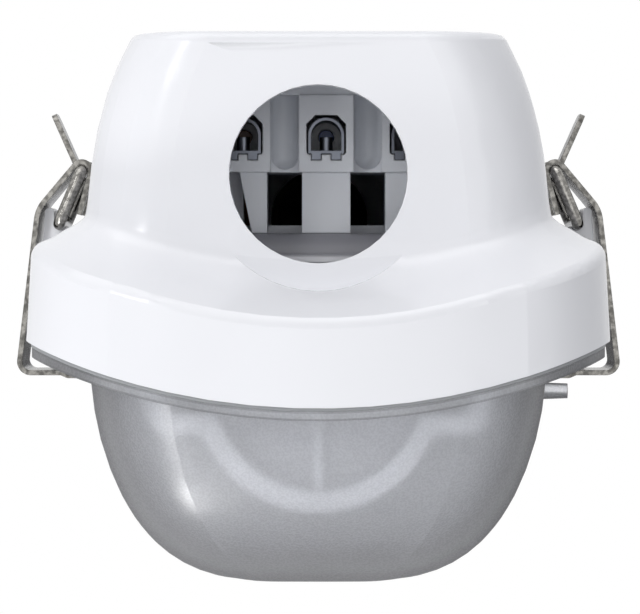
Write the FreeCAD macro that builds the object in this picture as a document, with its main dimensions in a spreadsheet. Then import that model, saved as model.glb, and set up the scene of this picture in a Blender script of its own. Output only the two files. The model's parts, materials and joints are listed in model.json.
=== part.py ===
"""Waterproof batten light: white housing, frosted diffuser, six over-centre clips and LED gear.

X runs across the light, Y along it and Z up. The origin is the centre of the flat roof face
that goes against the ceiling, so every piece hangs below z = 0. Millimetres.
"""
import FreeCAD
import Part
import math
import os

V = FreeCAD.Vector
X_AXIS = V(1, 0, 0)
Y_AXIS = V(0, 1, 0)
Z_AXIS = V(0, 0, 1)

# Driving dimensions. Depths and drops are counted down from the roof face.
DIMENSIONS = {
    # Housing
    "body_half_length": 330.0,
    "skirt_half_width": 42.2,
    "skirt_corner": 18.5,
    "skirt_end_radius": 95.0,
    "skirt_draft": 0.055,
    "wall": 2.5,
    "dome_half_width": 33.7,
    "dome_taper": 2.4,
    "dome_crown": 4.5,
    "dome_corner": 12.0,
    "dome_end_inset": 16.5,
    "dome_drop": 26.1,
    "roof_round": 1.7,
    "side_foot_drop": 34.2,
    "end_foot_drop": 34.4,
    "foot_reach": 2.0,
    "shoulder_side_angle": 44.0,
    "shoulder_end_angle": 22.5,
    "shoulder_drop": 45.5,
    "ridge_round": 1.8,
    # Curved parting line: an arc about an axis along the light
    "parting_radius": 101.0,
    "parting_drop": 53.35,
    "rim_inset": 1.0,
    "rim_width": 7.0,
    "rim_height": 5.0,
    "gasket_inset": 2.6,
    "gasket_bead_width": 2.8,
    "gasket_bead_height": 2.2,
    "gasket_lip": 0.5,
    "gasket_lip_inset": 0.9,
    "gasket_lip_width": 5.5,
    "gasket_play": 0.05,
    "gasket_headroom": 0.2,
    # Cable entry in both ends
    "entry_radius": 12.75,
    "entry_drop": 20.4,
    "entry_seat_radius": 16.7,
    "entry_seat_stand": 0.12,
    "entry_wall": 3.6,
    # Blanking plug in the rear entry
    "plug_play": 0.05,
    "plug_barb_gap": 0.1,
    "plug_barb_length": 2.4,
    "plug_barb_rise": 0.7,
    "plug_lead_in": 1.0,
    "plug_head_gap": 0.8,
    "plug_head_chamfer": 0.6,
    "plug_head_height": 2.0,
    "plug_ring_outer": 11.5,
    "plug_ring_inner": 9.5,
    "plug_ring_depth": 0.8,
    # Roof fixing holes
    "fixing_radius": 2.75,
    "fixing_spacing": 400.0,
    "seal_radius": 7.0,
    "seal_thickness": 1.5,
    "seal_play": 0.2,
    # Diffuser
    "flange_inset": 1.0,
    "flange_thickness": 1.3,
    "bowl_half_width": 33.4,
    "bowl_half_length": 320.0,
    "bowl_rim_drop": 44.4,
    "bowl_drop": 79.75,
    "bowl_wall": 2.0,
    "bowl_trim": 0.3,
    "bowl_flare": 1.92,
    "bowl_squareness": 3.43,
    "bowl_corner_share": 0.47,
    "bowl_end_radius": 85.0,
    "catch_drop": 48.8,
    "catch_length": 21.0,
    "catch_thickness": 1.7,
    "catch_inset": 0.1,
    "peg_length": 5.2,
    "peg_root_radius": 1.3,
    "peg_tip_radius": 1.1,
    "peg_root_x": 31.8,
    "peg_drop": 52.1,
    "peg_advance": 28.0,
    # Toggle clips
    "clip_pitch": 258.0,
    "pivot_x": 39.6,
    "pivot_drop": 27.15,
    "bar_x": 36.15,
    "bar_drop": 19.0,
    "link_wire": 1.8,
    "link_width": 20.8,
    "link_corner": 1.5,
    "pin_play": 0.06,
    "strip_thickness": 0.8,
    "strip_width": 18.0,
    "hook_tip_x": 36.5,
    "hook_tip_drop": 50.3,
    "hook_step_x": 38.3,
    "hook_rise_x": 39.3,
    "hook_arm_drop": 49.85,
    "hook_bend": 0.8,
    "heel_x": 45.85,
    "heel_bend": 1.7,
    "elbow_drop": 24.9,
    "elbow_bend": 5.0,
    "climb_angle": 130.0,
    "flap_angle": 285.0,
    "flap_length": 6.6,
    "tab_width": 9.0,
    "tab_angle": 66.0,
    "tab_length": 8.6,
    "tab_root": 1.5,
    "tab_bend": 0.8,
    "tab_corner": 1.6,
    "ear_gap": 14.0,
    "slot_ahead": 6.0,
    "slot_behind": 7.0,
    "slot_skin": 1.2,
    "slot_room": 10.0,
    "lug_width": 12.8,
    "lug_inner_x": 37.6,
    "lug_inner_drop": 30.0,
    "lug_nose_x": 41.9,
    "lug_foot_x": 42.4,
    "lug_outer_drop": 33.0,
    "lug_nose_drop": 25.5,
    "lug_top_drop": 24.6,
    "lug_lip_angle": 215.0,
    # Gear tray, lens and LED boards
    "tray_half_width": 25.2,
    "tray_top_drop": 46.4,
    "tray_drop": 56.6,
    "tray_sheet": 0.8,
    "tray_bend": 3.0,
    "tray_wing": 34.6,
    "tray_tongue_half_width": 24.0,
    "tray_tongue_shoulder": 3.0,
    "tray_tongue_length": 16.0,
    "tray_length": 606.0,
    "lens_radius": 16.6,
    "lens_centre_drop": 51.1,
    "lens_wall": 1.4,
    "lens_foot": 0.5,
    "lens_foot_height": 1.2,
    "cap_plate": 1.6,
    "cap_rim": 3.0,
    "cap_rim_height": 3.4,
    "cap_side_inset": 0.2,
    "cap_top_gap": 0.1,
    "cap_floor_lap": 0.4,
    "cap_corner_extra": 0.5,
    "cap_belly_lap": 1.2,
    "cap_rib": 1.2,
    "cap_rib_drop": 47.4,
    "cap_rib_height": 2.8,
    "board_width": 20.0,
    "board_length": 294.0,
    "board_thickness": 1.6,
    "board_gap": 12.0,
    "chip_width": 2.8,
    "chip_length": 3.5,
    "chip_height": 0.7,
    "chip_pitch": 12.0,
    "chip_count": 24,
    "chip_margin": 6.0,
    "chip_offset": 4.5,
    # Posts and screws
    "post_radius": 2.9,
    "post_x": 18.8,
    "post_spacing": 300.0,
    "post_hole_depth": 12.0,
    "screw_radius": 1.25,
    "screw_hole": 1.35,
    "screw_head_radius": 2.6,
    "screw_head_height": 1.6,
    "tray_shank": 10.0,
    "board_shank": 2.4,
    "bracket_shank": 4.0,
    "driver_shank": 3.8,
    "earth_shank": 4.0,
    "board_screw_first": 24.0,
    "board_screw_pitch": 132.0,
    "bracket_screw_x": 18.0,
    "bracket_screw_y": 262.0,
    "earth_x": 17.8,
    "earth_y": 228.0,
    # LED driver
    "driver_width": 30.0,
    "driver_length": 220.0,
    "driver_height": 19.0,
    "driver_wall": 1.5,
    "driver_start": 24.0,
    "driver_board_length": 196.0,
    "driver_board_lift": 2.0,
    "driver_ear_length": 10.0,
    "driver_ear_width": 14.0,
    "transformer_width": 18.0,
    "transformer_start": 80.0,
    "transformer_length": 24.0,
    "transformer_height": 10.0,
    "capacitor_radius": 4.5,
    "capacitor_height": 9.0,
    "lead_height": 10.0,
    # Terminal block and its bracket
    "terminal_pitch": 12.2,
    "terminal_offset": 1.15,
    "terminal_front": 296.0,
    "terminal_depth": 22.0,
    "terminal_top_drop": 8.5,
    "terminal_step_drop": 19.8,
    "terminal_foot_drop": 28.7,
    "pole_width": 8.05,
    "pole_recess": 3.0,
    "crest_drop": 4.6,
    "crest_setback": 0.3,
    "crest_depth": 6.0,
    "flute_radius": 1.95,
    "flute_rise": 2.4,
    "leg_width": 7.1,
    "leg_slant_top": -0.5,
    "leg_slant_foot": 1.3,
    "sill_height": 1.2,
    "sill_depth": 1.5,
    "leg_depth": 14.0,
    "leg_setback": 0.6,
    "cheek_setback": 6.1,
    "cage_width": 5.3,
    "cage_height": 5.3,
    "cage_depth": 12.0,
    "cage_wall": 0.45,
    "cage_drop": 17.1,
    "cage_setback": 0.4,
    "entry_play": 0.25,
    "entry_floor_play": 0.15,
    "entry_roof_play": 0.35,
    "entry_top_cut": 1.3,
    "entry_low_cut": 0.3,
    "foot_notch_near": 0.65,
    "foot_notch_far": 2.25,
    "foot_notch_depth": 1.0,
    "foot_play": 0.1,
    "foot_length": 1.0,
    "clamp_setback": 4.0,
    "clamp_screw_radius": 0.95,
    "clamp_head_radius": 1.8,
    "clamp_well_radius": 2.0,
    "clamp_head_drop": 2.3,
    "clamp_head_height": 1.6,
    "clamp_shank_rise": 2.5,
    "clamp_slot": 0.5,
    "clamp_slot_depth": 0.8,
    "clamp_play": 0.05,
    "bracket_sheet": 1.2,
    "bracket_width": 42.0,
    "bracket_lead": 1.0,
    "bracket_apron": 3.1,
    "bracket_lip": 1.6,
    "bracket_leg_y": 270.0,
    "bracket_foot_y": 256.0,
    "bracket_lip_bend": 0.7,
    "bracket_edge_bend": 2.2,
    "bracket_leg_bend": 1.8,
    # Wiring
    "mains_wire_radius": 1.1,
    "led_wire_radius": 0.7,
    "wire_play": 0.1,
    "wire_drop": 14.4,
    "wire_entry": 8.0,
    "mains_bend": 10.0,
    "earth_bend": 6.0,
    "mains_turn_y": 250.0,
    "mains_land_y": 220.0,
    "mains_join_y": 150.0,
    "earth_turn_y": 256.0,
    "earth_land_y": 248.0,
    "led_bend": 2.2,
    "led_spread": 1.1,
    "led_reach": 9.0,
    "led_turn_y": 14.0,
    "led_dip": 4.0,
    "grommet_hole": 3.6,
    "grommet_bore": 2.4,
    "grommet_lip": 0.8,
    "grommet_lap": 1.2,
    "grommet_play": 0.05,
    "lug_plate": 1.0,
    "lug_ring_radius": 3.6,
    "lug_tail_width": 3.6,
    "lug_tail_length": 9.0,
}

doc = FreeCAD.newDocument("BattenLight")
sheet = doc.addObject("Spreadsheet::Sheet", "Dims")
for row, (alias, number) in enumerate(DIMENSIONS.items(), start=1):
    sheet.set(f"A{row}", alias)
    sheet.set(f"B{row}", str(number))
    sheet.setAlias(f"B{row}", alias)
doc.recompute()

# Slack for picking edges by their place
SLACK = 0.01

sub_parts = []


def dim(alias):
    """Value of one spreadsheet cell."""
    return float(sheet.get(alias))


def bind(item, **expressions):
    """Bind properties of a document object to spreadsheet expressions."""
    for name, expression in expressions.items():
        item.setExpression(name, expression)


def keep(item, label):
    """Give a finished sub-part its label and list it for writing."""
    item.Label = label
    sub_parts.append(item)
    return item


def feature(label, shape, placement=None):
    """Sub-part whose shape is worked out from the sheet's values."""
    item = doc.addObject("Part::Feature", label)
    item.Shape = shape
    if placement is not None:
        item.Placement = placement
    return keep(item, label)


# Shape helpers


def rod(radius, start, direction, length):
    """Solid cylinder from a start point along a direction."""
    return Part.makeCylinder(radius, length, start, direction)


def block(x_range, y_range, z_range):
    """Solid box between two corners."""
    low = V(x_range[0], y_range[0], z_range[0])
    return Part.makeBox(x_range[1] - x_range[0], y_range[1] - y_range[0], z_range[1] - z_range[0], low)


def plan_outline(half_width, half_length, corner, end_radius, height):
    """Closed outline with straight sides, round corners and slightly bowed ends."""
    centre_y = half_length - end_radius
    corner_x = half_width - corner
    reach = math.sqrt((end_radius - corner) ** 2 - corner_x ** 2)
    corner_y = centre_y + reach
    stretch = end_radius / (end_radius - corner)
    end_x = corner_x * stretch
    end_y = centre_y + reach * stretch
    half_turn = 0.5 * math.atan2(reach, corner_x)
    mid_x = corner_x + corner * math.cos(half_turn)
    mid_y = corner_y + corner * math.sin(half_turn)
    edges = []
    for side in (1, -1):
        start = V(side * half_width, -side * corner_y, height)
        first = V(side * half_width, side * corner_y, height)
        first_mid = V(side * mid_x, side * mid_y, height)
        end_start = V(side * end_x, side * end_y, height)
        tip = V(0, side * half_length, height)
        end_stop = V(-side * end_x, side * end_y, height)
        last_mid = V(-side * mid_x, side * mid_y, height)
        last = V(-side * half_width, side * corner_y, height)
        edges += [
            Part.LineSegment(start, first),
            Part.Arc(first, first_mid, end_start),
            Part.Arc(end_start, tip, end_stop),
            Part.Arc(end_stop, last_mid, last),
        ]
    return Part.Wire([edge.toShape() for edge in edges])


def skirt_outline(inset, height):
    """Skirt outline moved inwards by an inset, with no draft."""
    return plan_outline(
        dim("skirt_half_width") - inset,
        dim("body_half_length") - inset,
        dim("skirt_corner") - inset,
        dim("skirt_end_radius") - inset,
        height,
    )


def parting_cylinder(extra):
    """Solid inside the parting arc, grown by an extra radius."""
    length = 3 * dim("body_half_length")
    centre = V(0, -0.5 * length, dim("parting_radius") - dim("parting_drop"))
    return rod(dim("parting_radius") + extra, centre, Y_AXIS, length)


def parting_height(x, extra=0.0):
    """Height of the parting arc, grown by an extra radius, at a distance from the middle."""
    radius = dim("parting_radius") + extra
    return dim("parting_radius") - dim("parting_drop") - math.sqrt(radius ** 2 - x ** 2)


def prism(outline, depth):
    """Solid straight down from a flat outline."""
    return Part.Face(outline).extrude(V(0, 0, -depth))


def parting_band(outer_inset, inner_inset, low_extra, high_extra):
    """Ring between two insets of the skirt outline and two radii of the parting arc."""
    height = -0.5 * dim("bowl_rim_drop")
    depth = dim("bowl_drop")
    ring = prism(skirt_outline(outer_inset, height), depth)
    if inner_inset is not None:
        ring = ring.cut(prism(skirt_outline(inner_inset, height), depth))
    return ring.common(parting_cylinder(high_extra)).cut(parting_cylinder(low_extra))


def corner_path(points, radii):
    """Lines through points with each inner corner rounded, as a list of drawing elements."""
    elements = []
    start = points[0]
    for before, corner, after, radius in zip(points, points[1:], points[2:], radii):
        inward = (before - corner).normalize()
        outward = (after - corner).normalize()
        half_angle = 0.5 * inward.getAngle(outward)
        reach = radius / math.tan(half_angle)
        bisector = (inward + outward).normalize()
        centre = corner + bisector * (radius / math.sin(half_angle))
        entry = corner + inward * reach
        leave = corner + outward * reach
        middle = centre - bisector * radius
        elements.append(Part.LineSegment(start, entry))
        elements.append(Part.Arc(entry, middle, leave))
        start = leave
    elements.append(Part.LineSegment(start, points[-1]))
    return elements


def offset_points(points, distance):
    """Points of a polyline moved to its left by a distance, corner by corner."""
    moved = []
    for index, corner in enumerate(points):
        ahead = points[min(index + 1, len(points) - 1)] - points[min(index, len(points) - 2)]
        behind = points[max(index, 1)] - points[max(index - 1, 0)]
        left_ahead = V(-ahead.y, ahead.x, 0).normalize()
        left_behind = V(-behind.y, behind.x, 0).normalize()
        mitre = (left_ahead + left_behind).normalize()
        moved.append(corner + mitre * (distance / mitre.dot(left_ahead)))
    return moved


def strip_profile(points, radii, thickness):
    """Closed outline of a bent sheet that follows points in a plane, with rounded bends."""
    half = 0.5 * thickness
    turns = []
    for before, corner, after in zip(points, points[1:], points[2:]):
        turns.append(math.copysign(1, (corner - before).cross(after - corner).z))
    left = corner_path(offset_points(points, half), [r - t * half for r, t in zip(radii, turns)])
    right = corner_path(offset_points(points, -half), [r + t * half for r, t in zip(radii, turns)])
    ends = [
        Part.LineSegment(left[-1].EndPoint, right[-1].EndPoint),
        Part.LineSegment(right[0].StartPoint, left[0].StartPoint),
    ]
    return left + right + ends


def plane_of(body, role):
    """One of a body's own origin planes."""
    return next(item for item in body.Origin.OriginFeatures if item.Role == role)


def upright_arc(element):
    """Arc of a drawing, counted anticlockwise in the drawing's plane."""
    if not isinstance(element, Part.ArcOfCircle) or element.Axis.z > 0:
        return element
    circle = Part.Circle(element.Center, Z_AXIS, element.Radius)
    return Part.ArcOfCircle(circle, circle.parameter(element.EndPoint), circle.parameter(element.StartPoint))


def sketch_on(body, role, elements, offset=0.0):
    """Sketch on one of the body's origin planes, moved along the plane's normal."""
    sketch = body.newObject("Sketcher::SketchObject", f"{body.Name}_outline")
    sketch.AttachmentSupport = [(plane_of(body, role), "")]
    sketch.MapMode = "FlatFace"
    sketch.AttachmentOffset = FreeCAD.Placement(V(0, 0, offset), FreeCAD.Rotation())
    sketch.addGeometry([upright_arc(element) for element in elements], False)
    return sketch


def pad(body, sketch, length, symmetric=True):
    """Pad a sketch of a body by a bound length."""
    item = body.newObject("PartDesign::Pad", f"{body.Name}_pad")
    item.Profile = sketch
    item.SideType = "Symmetric" if symmetric else "One side"
    bind(item, Length=length)
    sketch.Visibility = False
    return item


def pocket(body, sketch, length):
    """Cut a sketch of a body symmetrically by a bound length."""
    item = body.newObject("PartDesign::Pocket", f"{body.Name}_pocket")
    item.Profile = sketch
    item.SideType = "Symmetric"
    bind(item, Length=length)
    sketch.Visibility = False
    return item


def closed_polygon(corners):
    """Straight edges round a list of corners."""
    return [Part.LineSegment(a, b) for a, b in zip(corners, corners[1:] + corners[:1])]


def circles(centres, radius):
    """Circles of one radius for a sketch."""
    return [Part.Circle(centre, Z_AXIS, radius) for centre in centres]


def tube(points, radius, bend):
    """Round wire along straight runs joined by tangent arcs."""
    path = Part.Wire([element.toShape() for element in corner_path(points, [bend] * (len(points) - 2))])
    start = points[0]
    profile = Part.Wire([Part.Circle(start, points[1] - start, radius).toShape()])
    return path.makePipeShell([profile], True, False)


def screw(seat, direction, shank_length):
    """Pan-head screw whose head sits on a seat and whose shank runs along a direction."""
    head = rod(dim("screw_head_radius"), seat, direction * -1, dim("screw_head_height"))
    return head.fuse(rod(dim("screw_radius"), seat, direction, shank_length)).removeSplitter()


# Places shared by several pieces

CLIP_PLACES = [
    (f"{side_name}_{place_name}", side, step)
    for side_name, side in (("left", -1), ("right", 1))
    for place_name, step in (("front", -1), ("middle", 0), ("rear", 1))
]
END_PLACES = [("front", -1), ("rear", 1)]

PIVOT = V(dim("pivot_x"), -dim("pivot_drop"), 0)
BAR = V(dim("bar_x"), -dim("bar_drop"), 0)
CURL_RADIUS = 0.5 * (dim("link_wire") + dim("strip_thickness")) + dim("pin_play")
TRAY_TOP = -dim("tray_drop")
TRAY_UNDER = TRAY_TOP - dim("tray_sheet")
BOARD_UNDER = TRAY_UNDER - dim("board_thickness")
TRAY_END = 0.5 * dim("tray_length")
DOME_END = dim("body_half_length") - dim("dome_end_inset")
ENTRY_SEAT = DOME_END + dim("entry_seat_stand")
ENTRY_CENTRE = -dim("entry_drop")

TRAY_SCREW_SPOTS = [
    V(side * dim("post_x"), end * 0.5 * dim("post_spacing"), 0) for side in (-1, 1) for end in (-1, 1)
]
BOARD_SCREW_SPOTS = [
    V(0, end * (dim("board_screw_first") + step * dim("board_screw_pitch")), 0)
    for end in (-1, 1) for step in range(3)
]
BRACKET_SCREW_SPOTS = [V(side * dim("bracket_screw_x"), -dim("bracket_screw_y"), 0) for side in (-1, 1)]
DRIVER_STOP = dim("driver_start") + dim("driver_length")
DRIVER_EAR_MIDDLE = 0.5 * dim("driver_ear_length")
DRIVER_SCREW_SPOTS = [
    V(0, dim("driver_start") - DRIVER_EAR_MIDDLE, 0),
    V(0, DRIVER_STOP + DRIVER_EAR_MIDDLE, 0),
]
LEAD_HEIGHT = TRAY_TOP + dim("lead_height")
CAPACITOR_PLACES = (30.0, 45.0, 140.0, 155.0)
LEAD_X = {"live": -8.0, "neutral": -3.0, "minus": 4.0, "plus": 8.0}
EARTH_SPOT = V(dim("earth_x"), -dim("earth_y"), 0)
GROMMET_SPOT = V(0, 0, 0)
ROOF_FIXINGS = [V(0, end * 0.5 * dim("fixing_spacing"), 0) for end in (-1, 1)]


def clip_placement(side, step):
    """Placement of a clip piece that is drawn at the right-hand middle clip."""
    turn = FreeCAD.Rotation(Z_AXIS, 0 if side > 0 else 180)
    return FreeCAD.Placement(V(0, step * dim("clip_pitch"), 0), turn)


# Housing


# Evenly spaced outlines through the dome and the shoulder, and the degree of the surface through them
BODY_SECTIONS = 18
BODY_DEGREE = 3
# Points along each curved side of an outline, and the least bow of its ends against the skirt's
OUTLINE_POINTS = 9
LEAST_BOW = 0.02


def run_out(drop, foot_drop, reach, angle):
    """Distance that a slope has run out from a wall at a drop, with a rounded foot."""
    depth = drop - foot_drop
    if depth <= -reach:
        return 0.0
    steps = depth if depth >= reach else (depth + reach) ** 2 / (4 * reach)
    return steps / math.tan(math.radians(angle))


def arc_rise(x, drop):
    """Rise of an arc about the parting line's axis, above its lowest point."""
    radius = dim("parting_radius") - dim("parting_drop") + drop
    return radius - math.sqrt(radius ** 2 - x ** 2)


def arched(outline, drop, share):
    """Flat outline lifted towards the arc about the parting line's axis, by a share of the arc's rise."""
    edges = []
    for edge in outline.OrderedEdges:
        points = []
        for point in edge.discretize(OUTLINE_POINTS):
            points.append(V(point.x, point.y, share * arc_rise(point.x, drop) - drop))
        curve = Part.BSplineCurve()
        curve.interpolate(points)
        edges.append(curve.toShape())
    return Part.Wire(edges)


def body_outline(drop, inset, sink, share, height):
    """Flat outline of dome and shoulder at a drop of its middle, its wall inset and its shoulder sunk."""
    side_drop = drop - share * arc_rise(dim("dome_half_width"), drop)
    climb = 1 - side_drop / dim("dome_drop")
    crown = dim("dome_crown") * max(climb, 0.0) ** 3
    wall_x = dim("dome_half_width") - dim("dome_taper") * climb - crown - inset
    reach = dim("foot_reach")
    side_run = run_out(drop, dim("side_foot_drop") + sink, reach, dim("shoulder_side_angle"))
    end_run = run_out(drop, dim("end_foot_drop") + sink, reach, dim("shoulder_end_angle"))
    corner = dim("dome_corner") - inset + 0.5 * (side_run + end_run)
    bow = max(end_run / dim("dome_end_inset"), LEAST_BOW)
    end_radius = dim("skirt_end_radius") / bow
    return plan_outline(wall_x + side_run, DOME_END - inset + end_run, corner, end_radius, height)


def body_solid(inset, sink):
    """Dome that flows into the shoulder and ends in the skirt, solid down to below the bowl."""
    low = dim("shoulder_drop") + sink
    pitch = (low - inset) / (BODY_SECTIONS - 1)
    sections = [body_outline(low, inset, sink, 1.0, -dim("bowl_drop"))]
    for step in range(BODY_SECTIONS - 1):
        drop = low - step * pitch
        share = min((drop - inset) / (dim("side_foot_drop") - inset), 1.0) ** 2
        sections.append(arched(body_outline(drop, inset, sink, share, 0.0), drop, share))
    sections.append(body_outline(inset, inset, sink, 0.0, -inset))
    return Part.makeLoft(sections, True, False, False, BODY_DEGREE).common(skirt(inset))


def skirt(inset):
    """Drafted block inside the skirt's wall, from above the roof to below the bowl."""
    sections = []
    for drop in (-dim("wall"), dim("bowl_drop")):
        draft = dim("skirt_draft") * (dim("parting_drop") - dim("rim_height") - drop)
        sections.append(skirt_outline(inset + draft, -drop))
    return Part.makeLoft(sections, True, True)


def housing_envelope():
    """Outside of the housing, solid, with its edges rounded."""
    whole = body_solid(0.0, 0.0)
    whole = whole.makeFillet(dim("roof_round"), [edge for edge in whole.Edges if edge.BoundBox.ZMin > -SLACK])
    return whole.makeFillet(dim("ridge_round"), [edge for edge in whole.Edges if is_ridge(edge)])


def is_ridge(edge):
    """True for the edges where the shoulder's slope meets the skirt."""
    box = edge.BoundBox
    high = -dim("dome_drop") - dim("ridge_round")
    return box.ZMax < high and box.ZMin > -dim("shoulder_drop") and not is_upright(edge)


def is_upright(edge):
    """True for an edge that climbs more than it runs."""
    box = edge.BoundBox
    return box.ZLength > max(box.XLength, box.YLength)


def housing_cavity():
    """Inside of the housing, solid."""
    wall = dim("wall")
    slope = math.radians(dim("shoulder_end_angle"))
    sink = wall * (1 - math.sin(slope)) / math.cos(slope)
    return body_solid(wall, sink)


def clip_lug(side, step):
    """Saddle on the shoulder that holds a clip's pivot bar, open at the top."""
    half = 0.5 * dim("link_wire") + dim("pin_play")
    notch_in = PIVOT + clip_direction(dim("lug_lip_angle")) * half
    notch_low = PIVOT + V(0, -half, 0)
    notch_out = PIVOT + V(half, 0, 0)
    inner_foot = V(dim("lug_inner_x"), -dim("lug_inner_drop"), 0)
    inner_lip = V(dim("lug_inner_x"), notch_in.y, 0)
    nose_in = V(notch_out.x, -dim("lug_nose_drop"), 0)
    nose_out = V(dim("lug_nose_x"), -dim("lug_nose_drop"), 0)
    nose_top = V(0.5 * (nose_in.x + nose_out.x), -dim("lug_top_drop"), 0)
    outer_foot = V(dim("lug_foot_x"), -dim("lug_outer_drop"), 0)
    outline = [
        Part.LineSegment(inner_foot, inner_lip),
        Part.LineSegment(inner_lip, notch_in),
        Part.Arc(notch_in, notch_low, notch_out),
        Part.LineSegment(notch_out, nose_in),
        Part.Arc(nose_in, nose_top, nose_out),
        Part.LineSegment(nose_out, outer_foot),
        Part.LineSegment(outer_foot, inner_foot),
    ]
    face = Part.Face(Part.Wire([element.toShape() for element in outline]))
    face.rotate(V(0, 0, 0), X_AXIS, 90)
    lug = face.extrude(V(0, dim("lug_width"), 0))
    lug.translate(V(0, -0.5 * dim("lug_width"), 0))
    return lug.transformGeometry(clip_placement(side, step).toMatrix())


def make_housing():
    """White moulded housing with its rim, clip lugs, tray posts and cable entries."""
    envelope = housing_envelope().common(parting_cylinder(0.0))
    shell = envelope.cut(housing_cavity())
    rim = parting_band(dim("rim_inset"), dim("rim_width"), -dim("rim_height"), 0.0)
    pieces = [rim]
    for _, side, step in CLIP_PLACES:
        pieces.append(clip_lug(side, step))
    for spot in TRAY_SCREW_SPOTS:
        start = V(spot.x, spot.y, -0.5 * dim("wall"))
        pieces.append(rod(dim("post_radius"), start, Z_AXIS * -1, -TRAY_TOP - 0.5 * dim("wall")))
    cup_radius = dim("entry_seat_radius") + dim("wall")
    for _, end in END_PLACES:
        inner_face = V(0, end * (ENTRY_SEAT - dim("entry_wall")), ENTRY_CENTRE)
        cup = rod(cup_radius, inner_face, Y_AXIS * end, dim("dome_end_inset") + dim("entry_wall"))
        pieces.append(cup.common(envelope))
    shell = shell.fuse(pieces)
    groove = parting_band(
        dim("gasket_inset") - dim("gasket_play"),
        dim("gasket_inset") + dim("gasket_bead_width") + dim("gasket_play"),
        -dim("gasket_bead_height") - dim("gasket_headroom"),
        dim("gasket_lip"),
    )
    cuts = [groove]
    for spot in ROOF_FIXINGS:
        cuts.append(rod(dim("fixing_radius"), spot, Z_AXIS * -1, 2 * dim("wall")))
    for spot in TRAY_SCREW_SPOTS:
        hole_start = V(spot.x, spot.y, TRAY_TOP)
        cuts.append(rod(dim("screw_radius"), hole_start, Z_AXIS, dim("post_hole_depth")))
    for _, end in END_PLACES:
        seat = V(0, end * ENTRY_SEAT, ENTRY_CENTRE)
        cuts.append(rod(dim("entry_seat_radius"), seat, Y_AXIS * end, dim("body_half_length")))
        behind = V(0, end * (ENTRY_SEAT - 2 * dim("entry_wall")), ENTRY_CENTRE)
        cuts.append(rod(dim("entry_radius"), behind, Y_AXIS * end, 3 * dim("entry_wall")))
    feature("housing", shell.cut(cuts).removeSplitter())


def make_gasket():
    """Silicone seal: a flat lip under the rim with a bead that fills the rim's groove."""
    lip_inset = dim("gasket_lip_inset")
    lip = parting_band(lip_inset, lip_inset + dim("gasket_lip_width"), 0.0, dim("gasket_lip"))
    bead_inset = dim("gasket_inset")
    bead = parting_band(bead_inset, bead_inset + dim("gasket_bead_width"), -dim("gasket_bead_height"), 0.0)
    feature("gasket", lip.fuse(bead).removeSplitter())


def make_fixing_seals():
    """Rubber washers round the roof's fixing holes, inside."""
    washers = []
    for spot in ROOF_FIXINGS:
        top = V(spot.x, spot.y, -dim("wall"))
        ring = rod(dim("seal_radius"), top, Z_AXIS * -1, dim("seal_thickness"))
        hole = rod(dim("fixing_radius") + dim("seal_play"), top, Z_AXIS * -1, dim("seal_thickness"))
        washers.append(ring.cut(hole))
    feature("fixing_seals", Part.makeCompound(washers))


def make_blanking_plug():
    """Rubber plug that closes the rear cable entry, with a ring groove in its head."""
    body = doc.addObject("PartDesign::Body", "blanking_plug")
    play = dim("plug_play")
    barb = ENTRY_SEAT - dim("entry_wall") - dim("plug_barb_gap")
    tip = barb - dim("plug_barb_length")
    top = ENTRY_SEAT + dim("plug_head_height")
    neck = dim("entry_radius") - play
    head = dim("entry_seat_radius") - dim("plug_head_gap")
    profile = [
        V(0, tip, 0),
        V(neck - dim("plug_lead_in"), tip, 0),
        V(neck + dim("plug_barb_rise"), barb, 0),
        V(neck, barb, 0),
        V(neck, ENTRY_SEAT + play, 0),
        V(head, ENTRY_SEAT + play, 0),
        V(head - dim("plug_head_chamfer"), top, 0),
        V(dim("plug_ring_outer"), top, 0),
        V(dim("plug_ring_outer"), top - dim("plug_ring_depth"), 0),
        V(dim("plug_ring_inner"), top - dim("plug_ring_depth"), 0),
        V(dim("plug_ring_inner"), top, 0),
        V(0, top, 0),
    ]
    sketch = sketch_on(body, "XY_Plane", closed_polygon(profile))
    turn = body.newObject("PartDesign::Revolution", "blanking_plug_turn")
    turn.Profile = sketch
    turn.ReferenceAxis = (sketch, ["V_Axis"])
    turn.Angle = 360
    sketch.Visibility = False
    body.Placement = FreeCAD.Placement(V(0, 0, ENTRY_CENTRE), FreeCAD.Rotation())
    keep(body, "blanking_plug")


# Diffuser


# Shares of the bowl's depth at which its outline is drawn. The last one is the flat bottom.
BOWL_SHARES = (0, 0.3, 0.5, 0.68, 0.82, 0.91, 0.965, 0.991)


def bowl(inset):
    """Bowl of the diffuser, solid: its walls fall along a rounded curve to a flat bottom."""
    top = dim("bowl_rim_drop")
    half_width = dim("bowl_half_width") - inset
    depth = dim("bowl_drop") + dim("bowl_trim") - inset - top
    sections = []
    for share in BOWL_SHARES:
        width = half_width * (1 - share ** dim("bowl_flare")) ** (1 / dim("bowl_squareness"))
        sections.append(plan_outline(
            width,
            dim("bowl_half_length") - inset - (half_width - width),
            dim("bowl_corner_share") * width,
            dim("bowl_end_radius") - inset,
            -top - share * depth,
        ))
    return Part.makeLoft(sections, True, False)


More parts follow.
